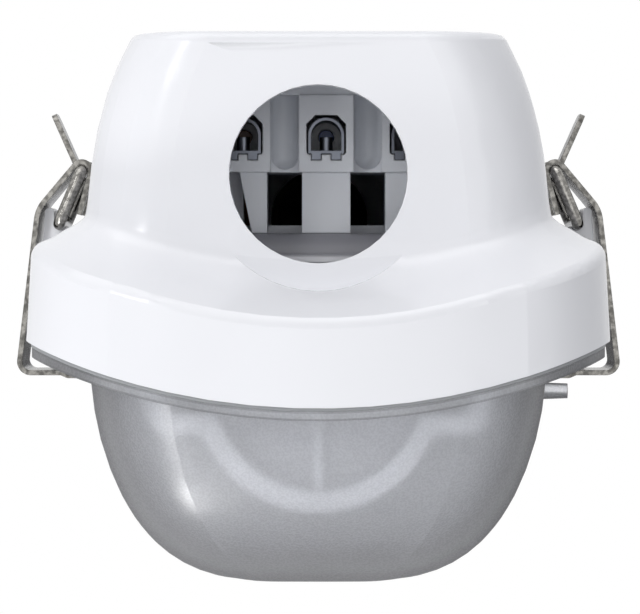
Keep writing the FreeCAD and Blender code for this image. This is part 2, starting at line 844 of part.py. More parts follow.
def make_diffuser():
    """Frosted diffuser: bowl, curved rim flange, clip catches and strap pegs."""
    low = dim("gasket_lip")
    high = low + dim("flange_thickness")
    solid = bowl(0.0).cut(parting_cylinder(low))
    pieces = [parting_band(dim("flange_inset"), None, low, high)]
    catch_outer = dim("skirt_half_width") - dim("flange_inset") - dim("catch_inset")
    catch_inner = catch_outer - dim("catch_thickness")
    half_catch = 0.5 * dim("catch_length")
    in_flange = parting_height(catch_inner, 0.5 * (low + high))
    catch = block((catch_inner, catch_outer), (-half_catch, half_catch), (-dim("catch_drop"), in_flange))
    for _, side, step in CLIP_PLACES:
        pieces.append(catch.transformGeometry(clip_placement(side, step).toMatrix()))
    for _, end in END_PLACES:
        root = V(dim("peg_root_x"), end * (dim("clip_pitch") + dim("peg_advance")), -dim("peg_drop"))
        peg = Part.makeCone(dim("peg_root_radius"), dim("peg_tip_radius"), dim("peg_length"), root, X_AXIS)
        pieces.append(peg)
    solid = solid.fuse(pieces)
    feature("diffuser", solid.cut(bowl(dim("bowl_wall"))).removeSplitter())


# Toggle clips


def clip_direction(degrees):
    """Unit vector in the clip's drawing plane."""
    return V(math.cos(math.radians(degrees)), math.sin(math.radians(degrees)), 0)


def left_normal(direction):
    """Direction turned a quarter turn anticlockwise."""
    return V(-direction.y, direction.x, 0)


def meeting_point(start, direction, other_start, other_direction):
    """Point where two lines of a drawing meet."""
    across = left_normal(other_direction)
    step = (other_start - start).dot(across) / direction.dot(across)
    return start + direction * step


def tab_corners(shape, tip):
    """Names of the short edges at the two corners of the finger tab's tip."""
    names = []
    for number, edge in enumerate(shape.Edges, start=1):
        middle = edge.CenterOfMass
        from_tip = math.hypot(middle.x - tip.x, middle.z - tip.y)
        is_side = abs(abs(middle.y) - 0.5 * dim("tab_width")) < SLACK
        if is_side and from_tip < SLACK:
            names.append(f"Edge{number}")
    return names


def make_latch(name, side, step):
    """Stainless strip: hook under the flange, curled ears round the link's bar, finger tab."""
    body = doc.addObject("PartDesign::Body", f"clip_latch_{name}")
    climb = clip_direction(dim("climb_angle"))
    inward = left_normal(climb)
    flap = clip_direction(dim("flap_angle"))
    climb_touch = BAR - inward * CURL_RADIUS
    flap_touch = BAR - left_normal(flap) * CURL_RADIUS
    curl_corner = meeting_point(climb_touch, climb, flap_touch, flap)
    elbow = meeting_point(climb_touch, climb, V(0, -dim("elbow_drop"), 0), X_AXIS)
    points = [
        V(dim("hook_tip_x"), -dim("hook_tip_drop"), 0),
        V(dim("hook_step_x"), -dim("hook_tip_drop"), 0),
        V(dim("hook_rise_x"), -dim("hook_arm_drop"), 0),
        V(dim("heel_x"), -dim("hook_arm_drop"), 0),
        elbow,
        curl_corner,
        flap_touch + flap * dim("flap_length"),
    ]
    bends = [dim(f"{place}_bend") for place in ("hook", "hook", "heel", "elbow")]
    outline = strip_profile(points, bends + [CURL_RADIUS], dim("strip_thickness"))
    pad(body, sketch_on(body, "XZ_Plane", outline), "Dims.strip_width")

    skin = climb_touch + inward * dim("slot_skin")
    ahead = climb * dim("slot_ahead")
    behind = climb * dim("slot_behind")
    room = inward * dim("slot_room")
    outside = climb_touch - inward * CURL_RADIUS
    slot_corners = [
        outside,
        outside + ahead,
        outside + ahead + room,
        skin + room - behind,
        skin - behind,
        skin,
    ]
    pocket(body, sketch_on(body, "XZ_Plane", closed_polygon(slot_corners)), "Dims.ear_gap")

    tab_tip = climb_touch + clip_direction(dim("tab_angle")) * dim("tab_length")
    tab_points = [climb_touch - climb * dim("tab_root"), climb_touch, tab_tip]
    tab = sketch_on(body, "XZ_Plane", strip_profile(tab_points, [dim("tab_bend")], dim("strip_thickness")))
    tab_pad = pad(body, tab, "Dims.tab_width")
    doc.recompute()
    corners = body.newObject("PartDesign::Fillet", f"{body.Name}_corners")
    corners.Base = (tab_pad, tab_corners(tab_pad.Shape, tab_tip))
    bind(corners, Radius="Dims.tab_corner")
    body.Tip = corners
    body.Placement = clip_placement(side, step)
    keep(body, f"clip_latch_{name}")


def make_link(name, side, step):
    """Closed loop of stainless wire between the housing's saddle and the latch's ears."""
    along = BAR - PIVOT
    half = 0.5 * dim("link_width")
    reach = along.Length
    corners = [V(0, 0, 0), V(0, half, 0), V(reach, half, 0), V(reach, -half, 0), V(0, -half, 0), V(0, 0, 0)]
    path = Part.Wire([
        element.toShape() for element in corner_path(corners, [dim("link_corner")] * 4)
    ])
    profile = Part.Wire([Part.Circle(corners[0], Y_AXIS, 0.5 * dim("link_wire")).toShape()])
    loop = path.makePipeShell([profile], True, False)
    tilt = math.degrees(math.atan2(along.y, along.x))
    at_pivot = FreeCAD.Placement(V(PIVOT.x, 0, PIVOT.y), FreeCAD.Rotation(Y_AXIS, -tilt))
    feature(f"clip_link_{name}", loop, clip_placement(side, step).multiply(at_pivot))


# Gear tray and light source


def make_tray():
    """White steel channel with wings: gear above, LED boards below, a tongue at its rear end."""
    body = doc.addObject("PartDesign::Body", "gear_tray")
    half_sheet = 0.5 * dim("tray_sheet")
    half = dim("tray_half_width") - half_sheet
    floor = TRAY_TOP - half_sheet
    wing = -dim("tray_top_drop") - half_sheet
    points = [
        V(-dim("tray_wing"), wing, 0),
        V(-half, wing, 0),
        V(-half, floor, 0),
        V(half, floor, 0),
        V(half, wing, 0),
        V(dim("tray_wing"), wing, 0),
    ]
    profile = strip_profile(points, [dim("tray_bend")] * 4, dim("tray_sheet"))
    pad(body, sketch_on(body, "XZ_Plane", profile), "Dims.tray_length")
    root = TRAY_END - dim("tray_bend")
    shoulder_y = TRAY_END + dim("tray_tongue_shoulder")
    tip = TRAY_END + dim("tray_tongue_length")
    right_side = [
        V(dim("tray_wing"), root, 0),
        V(dim("tray_wing"), shoulder_y, 0),
        V(dim("tray_tongue_half_width"), tip, 0),
    ]
    left_side = [V(-corner.x, corner.y, 0) for corner in reversed(right_side)]
    pad(body, sketch_on(body, "XY_Plane", closed_polygon(right_side + left_side), wing), "Dims.tray_sheet")
    spots = TRAY_SCREW_SPOTS + BOARD_SCREW_SPOTS + BRACKET_SCREW_SPOTS + DRIVER_SCREW_SPOTS + [EARTH_SPOT]
    holes = circles(spots, dim("screw_hole")) + circles([GROMMET_SPOT], dim("grommet_hole"))
    body.Tip = pocket(body, sketch_on(body, "XY_Plane", holes, TRAY_TOP), "4 * Dims.tray_sheet")
    keep(body, "gear_tray")


def bell_outline(inset):
    """Outline of the tray's end cap: square shoulders with a half-round belly."""
    half = dim("tray_half_width") - dim("cap_side_inset") - inset
    top = -dim("tray_top_drop") - dim("tray_sheet") - dim("cap_top_gap") - inset
    shoulder_z = TRAY_UNDER - dim("cap_floor_lap") + inset
    corner = dim("tray_bend") + dim("cap_corner_extra") - 0.5 * inset
    centre = -dim("lens_centre_drop")
    radius = dim("lens_radius") + dim("cap_belly_lap") - inset
    belly = math.sqrt(radius ** 2 - (shoulder_z - centre) ** 2)
    slant = corner * math.sqrt(0.5)

    def half_side(side):
        return [
            Part.LineSegment(V(side * half, top, 0), V(side * half, shoulder_z + corner, 0)),
            Part.Arc(V(side * half, shoulder_z + corner, 0),
                     V(side * (half - corner + slant), shoulder_z + corner - slant, 0),
                     V(side * (half - corner), shoulder_z, 0)),
            Part.LineSegment(V(side * (half - corner), shoulder_z, 0), V(side * belly, shoulder_z, 0)),
        ]

    bottom = Part.Arc(V(-belly, shoulder_z, 0), V(0, centre - radius, 0), V(belly, shoulder_z, 0))
    return half_side(-1) + [bottom] + half_side(1) + [Part.LineSegment(V(half, top, 0), V(-half, top, 0))]


def make_end_cap(name, end):
    """White moulded cap on an end of the tray, with a raised rim and a middle rib."""
    body = doc.addObject("PartDesign::Body", f"tray_end_cap_{name}")
    plate = sketch_on(body, "XZ_Plane", bell_outline(0.0))
    pad(body, plate, "Dims.cap_plate", symmetric=False)
    rim = sketch_on(body, "XZ_Plane", bell_outline(0.0) + bell_outline(dim("cap_rim")))
    pad(body, rim, "Dims.cap_rim_height", symmetric=False)
    low = -dim("lens_centre_drop") - dim("lens_radius")
    high = -dim("cap_rib_drop")
    half_rib = 0.5 * dim("cap_rib")
    rib_corners = [V(-half_rib, low, 0), V(half_rib, low, 0), V(half_rib, high, 0), V(-half_rib, high, 0)]
    rib = sketch_on(body, "XZ_Plane", closed_polygon(rib_corners))
    body.Tip = pad(body, rib, "Dims.cap_rib_height", symmetric=False)
    turn = FreeCAD.Rotation(Z_AXIS, 0 if end < 0 else 180)
    body.Placement = FreeCAD.Placement(V(0, end * TRAY_END, 0), turn)
    keep(body, f"tray_end_cap_{name}")


def make_lens():
    """Half-round opal lens under the LED boards, held by two feet."""
    length = dim("tray_length")
    start = V(0, -0.5 * length, -dim("lens_centre_drop"))
    ring = rod(dim("lens_radius"), start, Y_AXIS, length)
    ring = ring.cut(rod(dim("lens_radius") - dim("lens_wall"), start, Y_AXIS, length))
    reach = dim("lens_radius")
    brim = math.sqrt(reach ** 2 - (TRAY_UNDER + dim("lens_centre_drop")) ** 2)
    lower = block((-reach, reach), (-length, length), (-dim("bowl_drop"), TRAY_UNDER))
    lens = ring.common(lower)
    for side in (-1, 1):
        edges = sorted((side * (brim - dim("lens_wall")), side * (brim + dim("lens_foot"))))
        foot_low = TRAY_UNDER - dim("lens_foot_height")
        lens = lens.fuse(block(edges, (-0.5 * length, 0.5 * length), (foot_low, TRAY_UNDER)))
    feature("inner_lens", lens.removeSplitter())


def make_led_board(name, end):
    """LED circuit board under the tray, with clearance holes for its screws."""
    box = doc.addObject("Part::Box", f"led_board_{name}_blank")
    bind(box, Length="Dims.board_width", Width="Dims.board_length", Height="Dims.board_thickness")
    near = 0.5 * dim("board_gap")
    low_y = near if end > 0 else -near - dim("board_length")
    box.Placement = FreeCAD.Placement(V(-0.5 * dim("board_width"), low_y, BOARD_UNDER), FreeCAD.Rotation())
    result = box
    for spot in BOARD_SCREW_SPOTS:
        if spot.y * end < 0:
            continue
        hole = doc.addObject("Part::Cylinder", f"led_board_{name}_hole")
        bind(hole, Radius="Dims.screw_hole", Height="3 * Dims.board_thickness")
        low = BOARD_UNDER - dim("board_thickness")
        hole.Placement = FreeCAD.Placement(V(spot.x, spot.y, low), FreeCAD.Rotation())
        drilled = doc.addObject("Part::Cut", f"led_board_{name}_drilled")
        drilled.Base = result
        drilled.Tool = hole
        result = drilled
    keep(result, f"led_board_{name}")


def make_led_chips(name, end):
    """Row of LED packages on one board, either side of its screws."""
    chips = []
    first = 0.5 * dim("board_gap") + dim("chip_margin")
    for index in range(int(dim("chip_count"))):
        y = end * (first + index * dim("chip_pitch"))
        x = dim("chip_offset") if index % 2 else -dim("chip_offset")
        chips.append(block(
            (x - 0.5 * dim("chip_width"), x + 0.5 * dim("chip_width")),
            (y - 0.5 * dim("chip_length"), y + 0.5 * dim("chip_length")),
            (BOARD_UNDER - dim("chip_height"), BOARD_UNDER),
        ))
    feature(f"led_chips_{name}", Part.makeCompound(chips))


def screw_group(label, spots, seat_height, direction, shank):
    """Sub-part with one screw at each spot, all at one height."""
    screws = [screw(V(spot.x, spot.y, seat_height), direction, dim(shank)) for spot in spots]
    feature(label, Part.makeCompound(screws))


def make_fasteners():
    """Screws of the tray, the LED boards, the bracket, the driver and the earth lug."""
    down = Z_AXIS * -1
    screw_group("tray_screws", TRAY_SCREW_SPOTS, TRAY_UNDER, Z_AXIS, "tray_shank")
    screw_group("board_screws", BOARD_SCREW_SPOTS, BOARD_UNDER, Z_AXIS, "board_shank")
    bracket_seat = TRAY_TOP + dim("bracket_sheet")
    screw_group("bracket_screws", BRACKET_SCREW_SPOTS, bracket_seat, down, "bracket_shank")
    ear_seat = TRAY_TOP + 2 * dim("driver_wall")
    screw_group("driver_screws", DRIVER_SCREW_SPOTS, ear_seat, down, "driver_shank")
    screw_group("earth_screw", [EARTH_SPOT], TRAY_TOP + dim("lug_plate"), down, "earth_shank")


# LED driver


def make_driver():
    """LED driver: open case with screw ears, cover, circuit board and its main components."""
    half = 0.5 * dim("driver_width")
    start = dim("driver_start")
    wall = dim("driver_wall")
    top = TRAY_TOP + dim("driver_height")
    case = block((-half, half), (start, DRIVER_STOP), (TRAY_TOP, top))
    hollow = block((-half + wall, half - wall), (start + wall, DRIVER_STOP - wall), (TRAY_TOP + wall, top))
    half_ear = 0.5 * dim("driver_ear_width")
    ears = []
    for ear_start in (start - dim("driver_ear_length"), DRIVER_STOP):
        ear_range = (ear_start, ear_start + dim("driver_ear_length"))
        ears.append(block((-half_ear, half_ear), ear_range, (TRAY_TOP, TRAY_TOP + 2 * wall)))
    cuts = []
    for spot in DRIVER_SCREW_SPOTS:
        cuts.append(rod(dim("screw_hole"), V(spot.x, spot.y, TRAY_TOP), Z_AXIS, 4 * wall))
    for lead, x in LEAD_X.items():
        alias = "mains_wire_radius" if lead in ("live", "neutral") else "led_wire_radius"
        cuts.append(rod(dim(alias) + dim("wire_play"), V(x, start - wall, LEAD_HEIGHT), Y_AXIS, 3 * wall))
    feature("driver_case", case.cut(hollow).fuse(ears).cut(cuts).removeSplitter())

    cover = doc.addObject("Part::Box", "driver_cover")
    bind(cover, Length="Dims.driver_width", Width="Dims.driver_length", Height="Dims.driver_wall")
    cover.Placement = FreeCAD.Placement(V(-half, start, top), FreeCAD.Rotation())
    keep(cover, "driver_cover")

    board = doc.addObject("Part::Box", "driver_board")
    bind(board, Length="Dims.driver_width - 4 * Dims.driver_wall", Width="Dims.driver_board_length",
         Height="Dims.board_thickness")
    board_z = TRAY_TOP + wall + dim("driver_board_lift")
    board_y = start + 0.5 * (dim("driver_length") - dim("driver_board_length"))
    board.Placement = FreeCAD.Placement(V(-half + 2 * wall, board_y, board_z), FreeCAD.Rotation())
    keep(board, "driver_board")

    deck = board_z + dim("board_thickness")
    half_core = 0.5 * dim("transformer_width")
    core_start = board_y + dim("transformer_start")
    core_range = (core_start, core_start + dim("transformer_length"))
    parts = [block((-half_core, half_core), core_range, (deck, deck + dim("transformer_height")))]
    for along in CAPACITOR_PLACES:
        foot = V(0, board_y + along, deck)
        parts.append(rod(dim("capacitor_radius"), foot, Z_AXIS, dim("capacitor_height")))
    feature("driver_components", Part.makeCompound(parts))


# Terminal block, bracket and wiring


def pole_centres():
    """Across positions of the three poles, live to earth."""
    return [dim("terminal_offset") + step * dim("terminal_pitch") for step in (-1, 0, 1)]


def cage_outline(inset):
    """Arched outline of a clamp cage, in the plane across the light."""
    half = 0.5 * dim("cage_width") - inset
    low = -dim("cage_drop") + inset
    spring = -dim("cage_drop") + dim("cage_height") - 0.5 * dim("cage_width")
    elements = [
        Part.LineSegment(V(-half, low, 0), V(half, low, 0)),
        Part.LineSegment(V(half, low, 0), V(half, spring, 0)),
        Part.Arc(V(half, spring, 0), V(0, spring + half, 0), V(-half, spring, 0)),
        Part.LineSegment(V(-half, spring, 0), V(-half, low, 0)),
    ]
    return Part.Wire([element.toShape() for element in elements])


def across_solid(outline, x, front_y, depth):
    """Solid from an outline drawn across the light, running back from a front face."""
    face = Part.Face(outline)
    face.rotate(V(0, 0, 0), X_AXIS, 90)
    face.translate(V(x, front_y, 0))
    return face.extrude(V(0, depth, 0))


def entry_pocket(x, front):
    """Eight-sided wire entry in the face of one pole, with a notch for each foot of the cage."""
    half = 0.5 * dim("cage_width") + dim("entry_play")
    low = -dim("cage_drop") - dim("entry_floor_play")
    high = -dim("cage_drop") + dim("cage_height") + dim("entry_roof_play")
    top_cut = dim("entry_top_cut")
    low_cut = dim("entry_low_cut")
    corners = [
        V(-half + low_cut, low, 0),
        V(half - low_cut, low, 0),
        V(half, low + low_cut, 0),
        V(half, high - top_cut, 0),
        V(half - top_cut, high, 0),
        V(-half + top_cut, high, 0),
        V(-half, high - top_cut, 0),
        V(-half, low + low_cut, 0),
    ]
    outline = Part.Wire([element.toShape() for element in closed_polygon(corners)])
    entry = across_solid(outline, x, front, dim("cage_depth") + 2 * dim("cage_setback"))
    depth = dim("cage_setback") + dim("foot_length") + dim("foot_play")
    notches = cage_feet(x, front, depth, 0.0)
    return entry.fuse(notches)


def cage_feet(x, front, depth, play):
    """Two small blocks under a cage's front edge, either side of the pole's middle tab."""
    top = -dim("cage_drop") + 0.5 * dim("cage_wall")
    low = -dim("cage_drop") - dim("foot_notch_depth") + play
    feet = []
    for side in (-1, 1):
        near = side * (dim("foot_notch_near") + play)
        far = side * (dim("foot_notch_far") - play)
        x_range = sorted((x + near, x + far))
        feet.append(block(x_range, (front, front + depth), (low, top)))
    return feet


def clamp_screw(x, y):
    """Slotted clamp screw of one pole, turned from below."""
    cage_low = -dim("cage_drop")
    head_low = cage_low - dim("clamp_head_drop")
    head = rod(dim("clamp_head_radius"), V(x, y, head_low), Z_AXIS, dim("clamp_head_height"))
    tip_rise = dim("clamp_head_drop") + dim("clamp_shank_rise")
    shank = rod(dim("clamp_screw_radius"), V(x, y, head_low), Z_AXIS, tip_rise)
    half_slot = 0.5 * dim("clamp_slot")
    reach = dim("clamp_well_radius")
    slot_top = head_low + dim("clamp_slot_depth")
    slot = block((x - reach, x + reach), (y - half_slot, y + half_slot), (head_low, slot_top))
    return head.fuse(shank).cut(slot)


def clamp_cage(x, y, front):
    """Arched clamp cage of one pole, with the hole for its screw."""
    depth = dim("cage_depth")
    cage_front = front + dim("cage_setback")
    cage = across_solid(cage_outline(0.0), x, cage_front, depth)
    inside = across_solid(cage_outline(dim("cage_wall")), x, cage_front - depth, 3 * depth)
    thread_start = V(x, y, -dim("cage_drop") - dim("cage_wall"))
    thread = rod(dim("clamp_screw_radius") + dim("clamp_play"), thread_start, Z_AXIS, 3 * dim("cage_wall"))
    feet = cage_feet(x, cage_front, dim("foot_length"), dim("foot_play"))
    return cage.fuse(feet).cut([inside, thread])


def leg_solid(x, side):
    """Leg under one pole: straight in the middle, slanted on the outer side of the outer poles."""
    half = 0.5 * dim("leg_width")
    step = -dim("terminal_step_drop")
    foot = -dim("terminal_foot_drop")
    outer_top = dim("leg_slant_top") if side else -half
    outer_foot = dim("leg_slant_foot") if side else -half
    turn = -side if side else 1
    corners = [V(turn * outer_top, step, 0), V(turn * half, step, 0), V(turn * half, foot, 0),
               V(turn * outer_foot, foot, 0)]
    outline = Part.Wire([element.toShape() for element in closed_polygon(corners)])
    return across_solid(outline, x, -dim("terminal_front") + dim("leg_setback"), dim("leg_depth"))


def make_terminal():
    """Three-pole terminal block with its clamp cages and screws."""
    front = -dim("terminal_front")
    back = front + dim("terminal_depth")
    top = -dim("terminal_top_drop")
    step = -dim("terminal_step_drop")
    foot = -dim("terminal_foot_drop")
    poles = pole_centres()
    half = 0.5 * dim("pole_width")
    well_y = front + dim("clamp_setback")
    well_rise = dim("terminal_foot_drop") - dim("cage_drop")
    wire_hole = dim("mains_wire_radius") + dim("wire_play")
    recess = front + dim("pole_recess")
    web = block((poles[0], poles[-1]), (recess, back), (step, top))
    crest_front = front + dim("crest_setback")
    crest_range = (crest_front, crest_front + dim("crest_depth"))
    sill_back = front + dim("leg_setback") + dim("leg_depth")
    sill_range = (sill_back - dim("sill_depth"), sill_back)
    solids = [
        block((poles[0] - half, poles[-1] + half), crest_range, (top, -dim("crest_drop"))),
        block((poles[0], poles[-1]), sill_range, (foot, foot + dim("sill_height"))),
    ]
    cuts = []
    for before, after in zip(poles, poles[1:]):
        flute_foot = V(0.5 * (before + after), recess, step + dim("flute_rise"))
        cuts.append(rod(dim("flute_radius"), flute_foot, Z_AXIS, top - flute_foot.z))
        cuts.append(Part.makeSphere(dim("flute_radius"), flute_foot))
    for side, x in zip((-1, 0, 1), poles):
        solids.append(block((x - half, x + half), (front, back), (step, top)))
        solids.append(leg_solid(x, side))
        if side:
            cheek_x = sorted((x, x + side * half))
            solids.append(block(cheek_x, (front + dim("cheek_setback"), sill_back), (foot, step)))
        cuts.append(entry_pocket(x, front))
        cuts.append(rod(dim("clamp_well_radius"), V(x, well_y, foot), Z_AXIS, well_rise))
        wire_start = V(x, front + dim("cage_depth"), -dim("wire_drop"))
        cuts.append(rod(wire_hole, wire_start, Y_AXIS, dim("terminal_depth")))
    feature("terminal_block", web.fuse(solids).cut(cuts).removeSplitter())
    feature("terminal_cages", Part.makeCompound([clamp_cage(x, well_y, front) for x in poles]))
    feature("terminal_screws", Part.makeCompound([clamp_screw(x, well_y) for x in poles]))


def make_bracket():
    """Steel stool that lifts the terminal block off the tray, with a front apron."""
    body = doc.addObject("PartDesign::Body", "terminal_bracket")
    half = 0.5 * dim("bracket_sheet")
    front = -dim("terminal_front") - dim("bracket_lead")
    deck = -dim("terminal_foot_drop") - half
    foot = TRAY_TOP + half
    apron = deck - dim("bracket_apron")
    points = [
        V(front - dim("bracket_lip"), apron, 0),
        V(front, apron, 0),
        V(front, deck, 0),
        V(-dim("bracket_leg_y"), deck, 0),
        V(-dim("bracket_leg_y"), foot, 0),
        V(-dim("bracket_foot_y"), foot, 0),
    ]
    bends = [dim(f"bracket_{place}_bend") for place in ("lip", "edge", "leg", "leg")]
    profile = strip_profile(points, bends, dim("bracket_sheet"))
    pad(body, sketch_on(body, "YZ_Plane", profile), "Dims.bracket_width")
    holes = circles(BRACKET_SCREW_SPOTS, dim("screw_hole"))
    body.Tip = pocket(body, sketch_on(body, "XY_Plane", holes, TRAY_TOP), "4 * Dims.bracket_sheet")
    keep(body, "terminal_bracket")


def make_mains_wires():
    """Live and neutral wires from the terminal block down to the driver."""
    start_y = -dim("terminal_front") + dim("terminal_depth") - dim("wire_entry")
    stop_y = dim("driver_start") + dim("driver_wall")
    level = -dim("wire_drop")
    for name, x in zip(("live", "neutral"), pole_centres()):
        lead_x = LEAD_X[name]
        route = [
            V(x, start_y, level),
            V(x, -dim("mains_turn_y"), level),
            V(x, -dim("mains_land_y"), LEAD_HEIGHT),
            V(lead_x, -dim("mains_join_y"), LEAD_HEIGHT),
            V(lead_x, stop_y, LEAD_HEIGHT),
        ]
        feature(f"wire_{name}", tube(route, dim("mains_wire_radius"), dim("mains_bend")))


def make_earth_wire():
    """Earth wire from the terminal block to its ring lug on the tray."""
    x = pole_centres()[2]
    start_y = -dim("terminal_front") + dim("terminal_depth") - dim("wire_entry")
    level = -dim("wire_drop")
    rest = TRAY_TOP + dim("lug_plate") + dim("mains_wire_radius") + dim("wire_play")
    tail = EARTH_SPOT.y - 0.5 * dim("lug_tail_length")
    route = [
        V(x, start_y, level),
        V(x, -dim("earth_turn_y"), level),
        V(EARTH_SPOT.x, -dim("earth_land_y"), rest),
        V(EARTH_SPOT.x, tail, rest),
    ]
    feature("wire_earth", tube(route, dim("mains_wire_radius"), dim("earth_bend")))
    base = V(EARTH_SPOT.x, EARTH_SPOT.y, TRAY_TOP)
    ring = rod(dim("lug_ring_radius"), base, Z_AXIS, dim("lug_plate"))
    half_tail = 0.5 * dim("lug_tail_width")
    tail_plate = block(
        (base.x - half_tail, base.x + half_tail),
        (base.y - dim("lug_tail_length"), base.y),
        (TRAY_TOP, TRAY_TOP + dim("lug_plate")),
    )
    hole = rod(dim("screw_hole"), base, Z_AXIS, dim("lug_plate"))
    feature("earth_lug", ring.fuse(tail_plate).cut(hole).removeSplitter())


def make_led_wires():
    """LED leads from the driver through the tray's grommet to the two boards."""
    start_y = dim("driver_start") + dim("driver_wall")
    pad_z = BOARD_UNDER - dim("led_wire_radius")
    for name, side, end in (("plus", 1, -1), ("minus", -1, 1)):
        lead_x = LEAD_X[name]
        x = side * dim("led_spread")
        route = [
            V(lead_x, start_y, LEAD_HEIGHT),
            V(lead_x, dim("led_turn_y"), LEAD_HEIGHT),
            V(x, 0, LEAD_HEIGHT - dim("led_dip")),
            V(x, 0, pad_z),
            V(x, end * dim("led_reach"), pad_z),
        ]
        feature(f"wire_led_{name}", tube(route, dim("led_wire_radius"), dim("led_bend")))


def make_grommet():
    """Rubber grommet in the tray's lead hole."""
    hole = dim("grommet_hole")
    lip = dim("grommet_lip")
    low = V(0, 0, TRAY_UNDER - lip)
    height = dim("tray_sheet") + 2 * lip
    ring = rod(hole - dim("grommet_play"), low, Z_AXIS, height)
    for z in (TRAY_UNDER - lip, TRAY_TOP):
        ring = ring.fuse(rod(hole + dim("grommet_lap"), V(0, 0, z), Z_AXIS, lip))
    feature("tray_grommet", ring.cut(rod(dim("grommet_bore"), low, Z_AXIS, height)).removeSplitter())


make_housing()
make_gasket()
make_fixing_seals()
make_blanking_plug()
make_diffuser()
for clip_name, clip_side, clip_step in CLIP_PLACES:
    make_latch(clip_name, clip_side, clip_step)
    make_link(clip_name, clip_side, clip_step)
make_tray()
make_lens()
for end_name, end_side in END_PLACES:
    make_end_cap(end_name, end_side)
    make_led_board(end_name, end_side)
    make_led_chips(end_name, end_side)
make_fasteners()
make_driver()
make_terminal()
make_bracket()
make_mains_wires()
make_earth_wire()
make_led_wires()
make_grommet()
doc.recompute()

for item in doc.Objects:
    if "Invalid" in item.State or "Error" in item.State:
        raise RuntimeError(f"{item.Label} failed: {item.State}")
for item in sub_parts:
    if item.Shape.isNull() or not item.Shape.isValid():
        raise RuntimeError(f"{item.Label} has no valid shape")

os.makedirs("parts", exist_ok=True)
for item in sub_parts:
    item.Shape.exportStep(f"parts/{item.Label}.step")
    box = item.Shape.BoundBox
    print(f"{item.Label}: {len(item.Shape.Solids)} solids, {item.Shape.Volume:.0f} mm3,"
          f" z {box.ZMin:.1f} to {box.ZMax:.1f}")
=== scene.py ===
"""Looks of a waterproof batten light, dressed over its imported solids.

Metres, in the light's own frame: X across, Y along, Z up, with the origin in the middle of the
roof face. The camera looks along +Y at the end with the cable entry.
"""
import json
import logging
import math
from dataclasses import dataclass
from enum import Enum
from typing import Any, Union

import bmesh
import bpy
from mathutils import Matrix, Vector


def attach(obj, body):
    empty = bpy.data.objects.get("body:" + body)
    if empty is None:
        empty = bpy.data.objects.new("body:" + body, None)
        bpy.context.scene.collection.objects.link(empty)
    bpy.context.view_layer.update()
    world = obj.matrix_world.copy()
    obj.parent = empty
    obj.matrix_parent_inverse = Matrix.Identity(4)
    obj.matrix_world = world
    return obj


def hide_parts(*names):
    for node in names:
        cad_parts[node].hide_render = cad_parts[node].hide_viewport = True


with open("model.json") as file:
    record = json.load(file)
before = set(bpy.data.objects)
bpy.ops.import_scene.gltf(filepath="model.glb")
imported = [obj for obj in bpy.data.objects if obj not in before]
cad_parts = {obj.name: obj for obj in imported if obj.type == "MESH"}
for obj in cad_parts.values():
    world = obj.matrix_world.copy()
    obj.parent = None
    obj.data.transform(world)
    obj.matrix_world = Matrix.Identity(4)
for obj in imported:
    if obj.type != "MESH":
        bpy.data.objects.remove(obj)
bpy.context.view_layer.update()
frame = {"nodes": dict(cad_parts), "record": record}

LOG = logging.getLogger("batten_light")
MM = 0.001
NOISE_MIDDLE = 0.5

Colour = tuple[float, float, float]
Triple = tuple[float, float, float]
Operand = Union["Value", float]


class Axis(Enum):
    """Axis of the light's frame, by the name of its socket."""

    ACROSS = "X"
    LENGTH = "Y"
    HEIGHT = "Z"


class Value:
    """One output of a shader node, with Python's operators for numbers."""

    def __init__(self, shader: "Shader", socket: bpy.types.NodeSocket) -> None:
        """Wrap a socket.

        Args:
            shader: Tree that the socket belongs to.
            socket: Output socket of a node.
        """
        self.shader = shader
        self.socket = socket

    def _math(self, operation: str, first: Operand, second: Operand) -> "Value":
        """Add one Math node.

        Args:
            operation: Name of the node's operation.
            first: First operand.
            second: Second operand.

        Returns:
            The node's result.
        """
        return self.shader.add("ShaderNodeMath", {"operation": operation}, {0: first, 1: second})

    def __add__(self, other: Operand) -> "Value":
        """Sum with a value on the right."""
        return self._math("ADD", self, other)

    def __radd__(self, other: Operand) -> "Value":
        """Sum with a number on the left."""
        return self._math("ADD", other, self)

    def __sub__(self, other: Operand) -> "Value":
        """Difference from this value."""
        return self._math("SUBTRACT", self, other)

    def __rsub__(self, other: Operand) -> "Value":
        """Difference from a number on the left."""
        return self._math("SUBTRACT", other, self)

    def __mul__(self, other: Operand) -> "Value":
        """Product with a value on the right."""
        return self._math("MULTIPLY", self, other)

    def __rmul__(self, other: Operand) -> "Value":
        """Product with a number on the left."""
        return self._math("MULTIPLY", other, self)

    def __gt__(self, other: Operand) -> "Value":
        """One where this value is the larger, and zero elsewhere."""
        return self._math("GREATER_THAN", self, other)

    def largest(self, other: Operand) -> "Value":
        """The larger of two values."""
        return self._math("MAXIMUM", self, other)

    def root(self) -> "Value":
        """Square root."""
        return self._math("SQRT", self, 0.0)

    def size(self) -> "Value":
        """The value without its sign."""
        return self._math("ABSOLUTE", self, 0.0)

    def ramp(self, low: float, high: float, to_low: float = 0.0, to_high: float = 1.0) -> "Value":
        """Smooth step between two limits.

        Args:
            low: Value at which the step starts.
            high: Value at which it ends.
            to_low: Result at the start.
            to_high: Result at the end.

        Returns:
            The stepped value.
        """
        limits = {"Value": self, "From Min": low, "From Max": high, "To Min": to_low, "To Max": to_high}
        return self.shader.add("ShaderNodeMapRange", {"interpolation_type": "SMOOTHSTEP"}, limits)


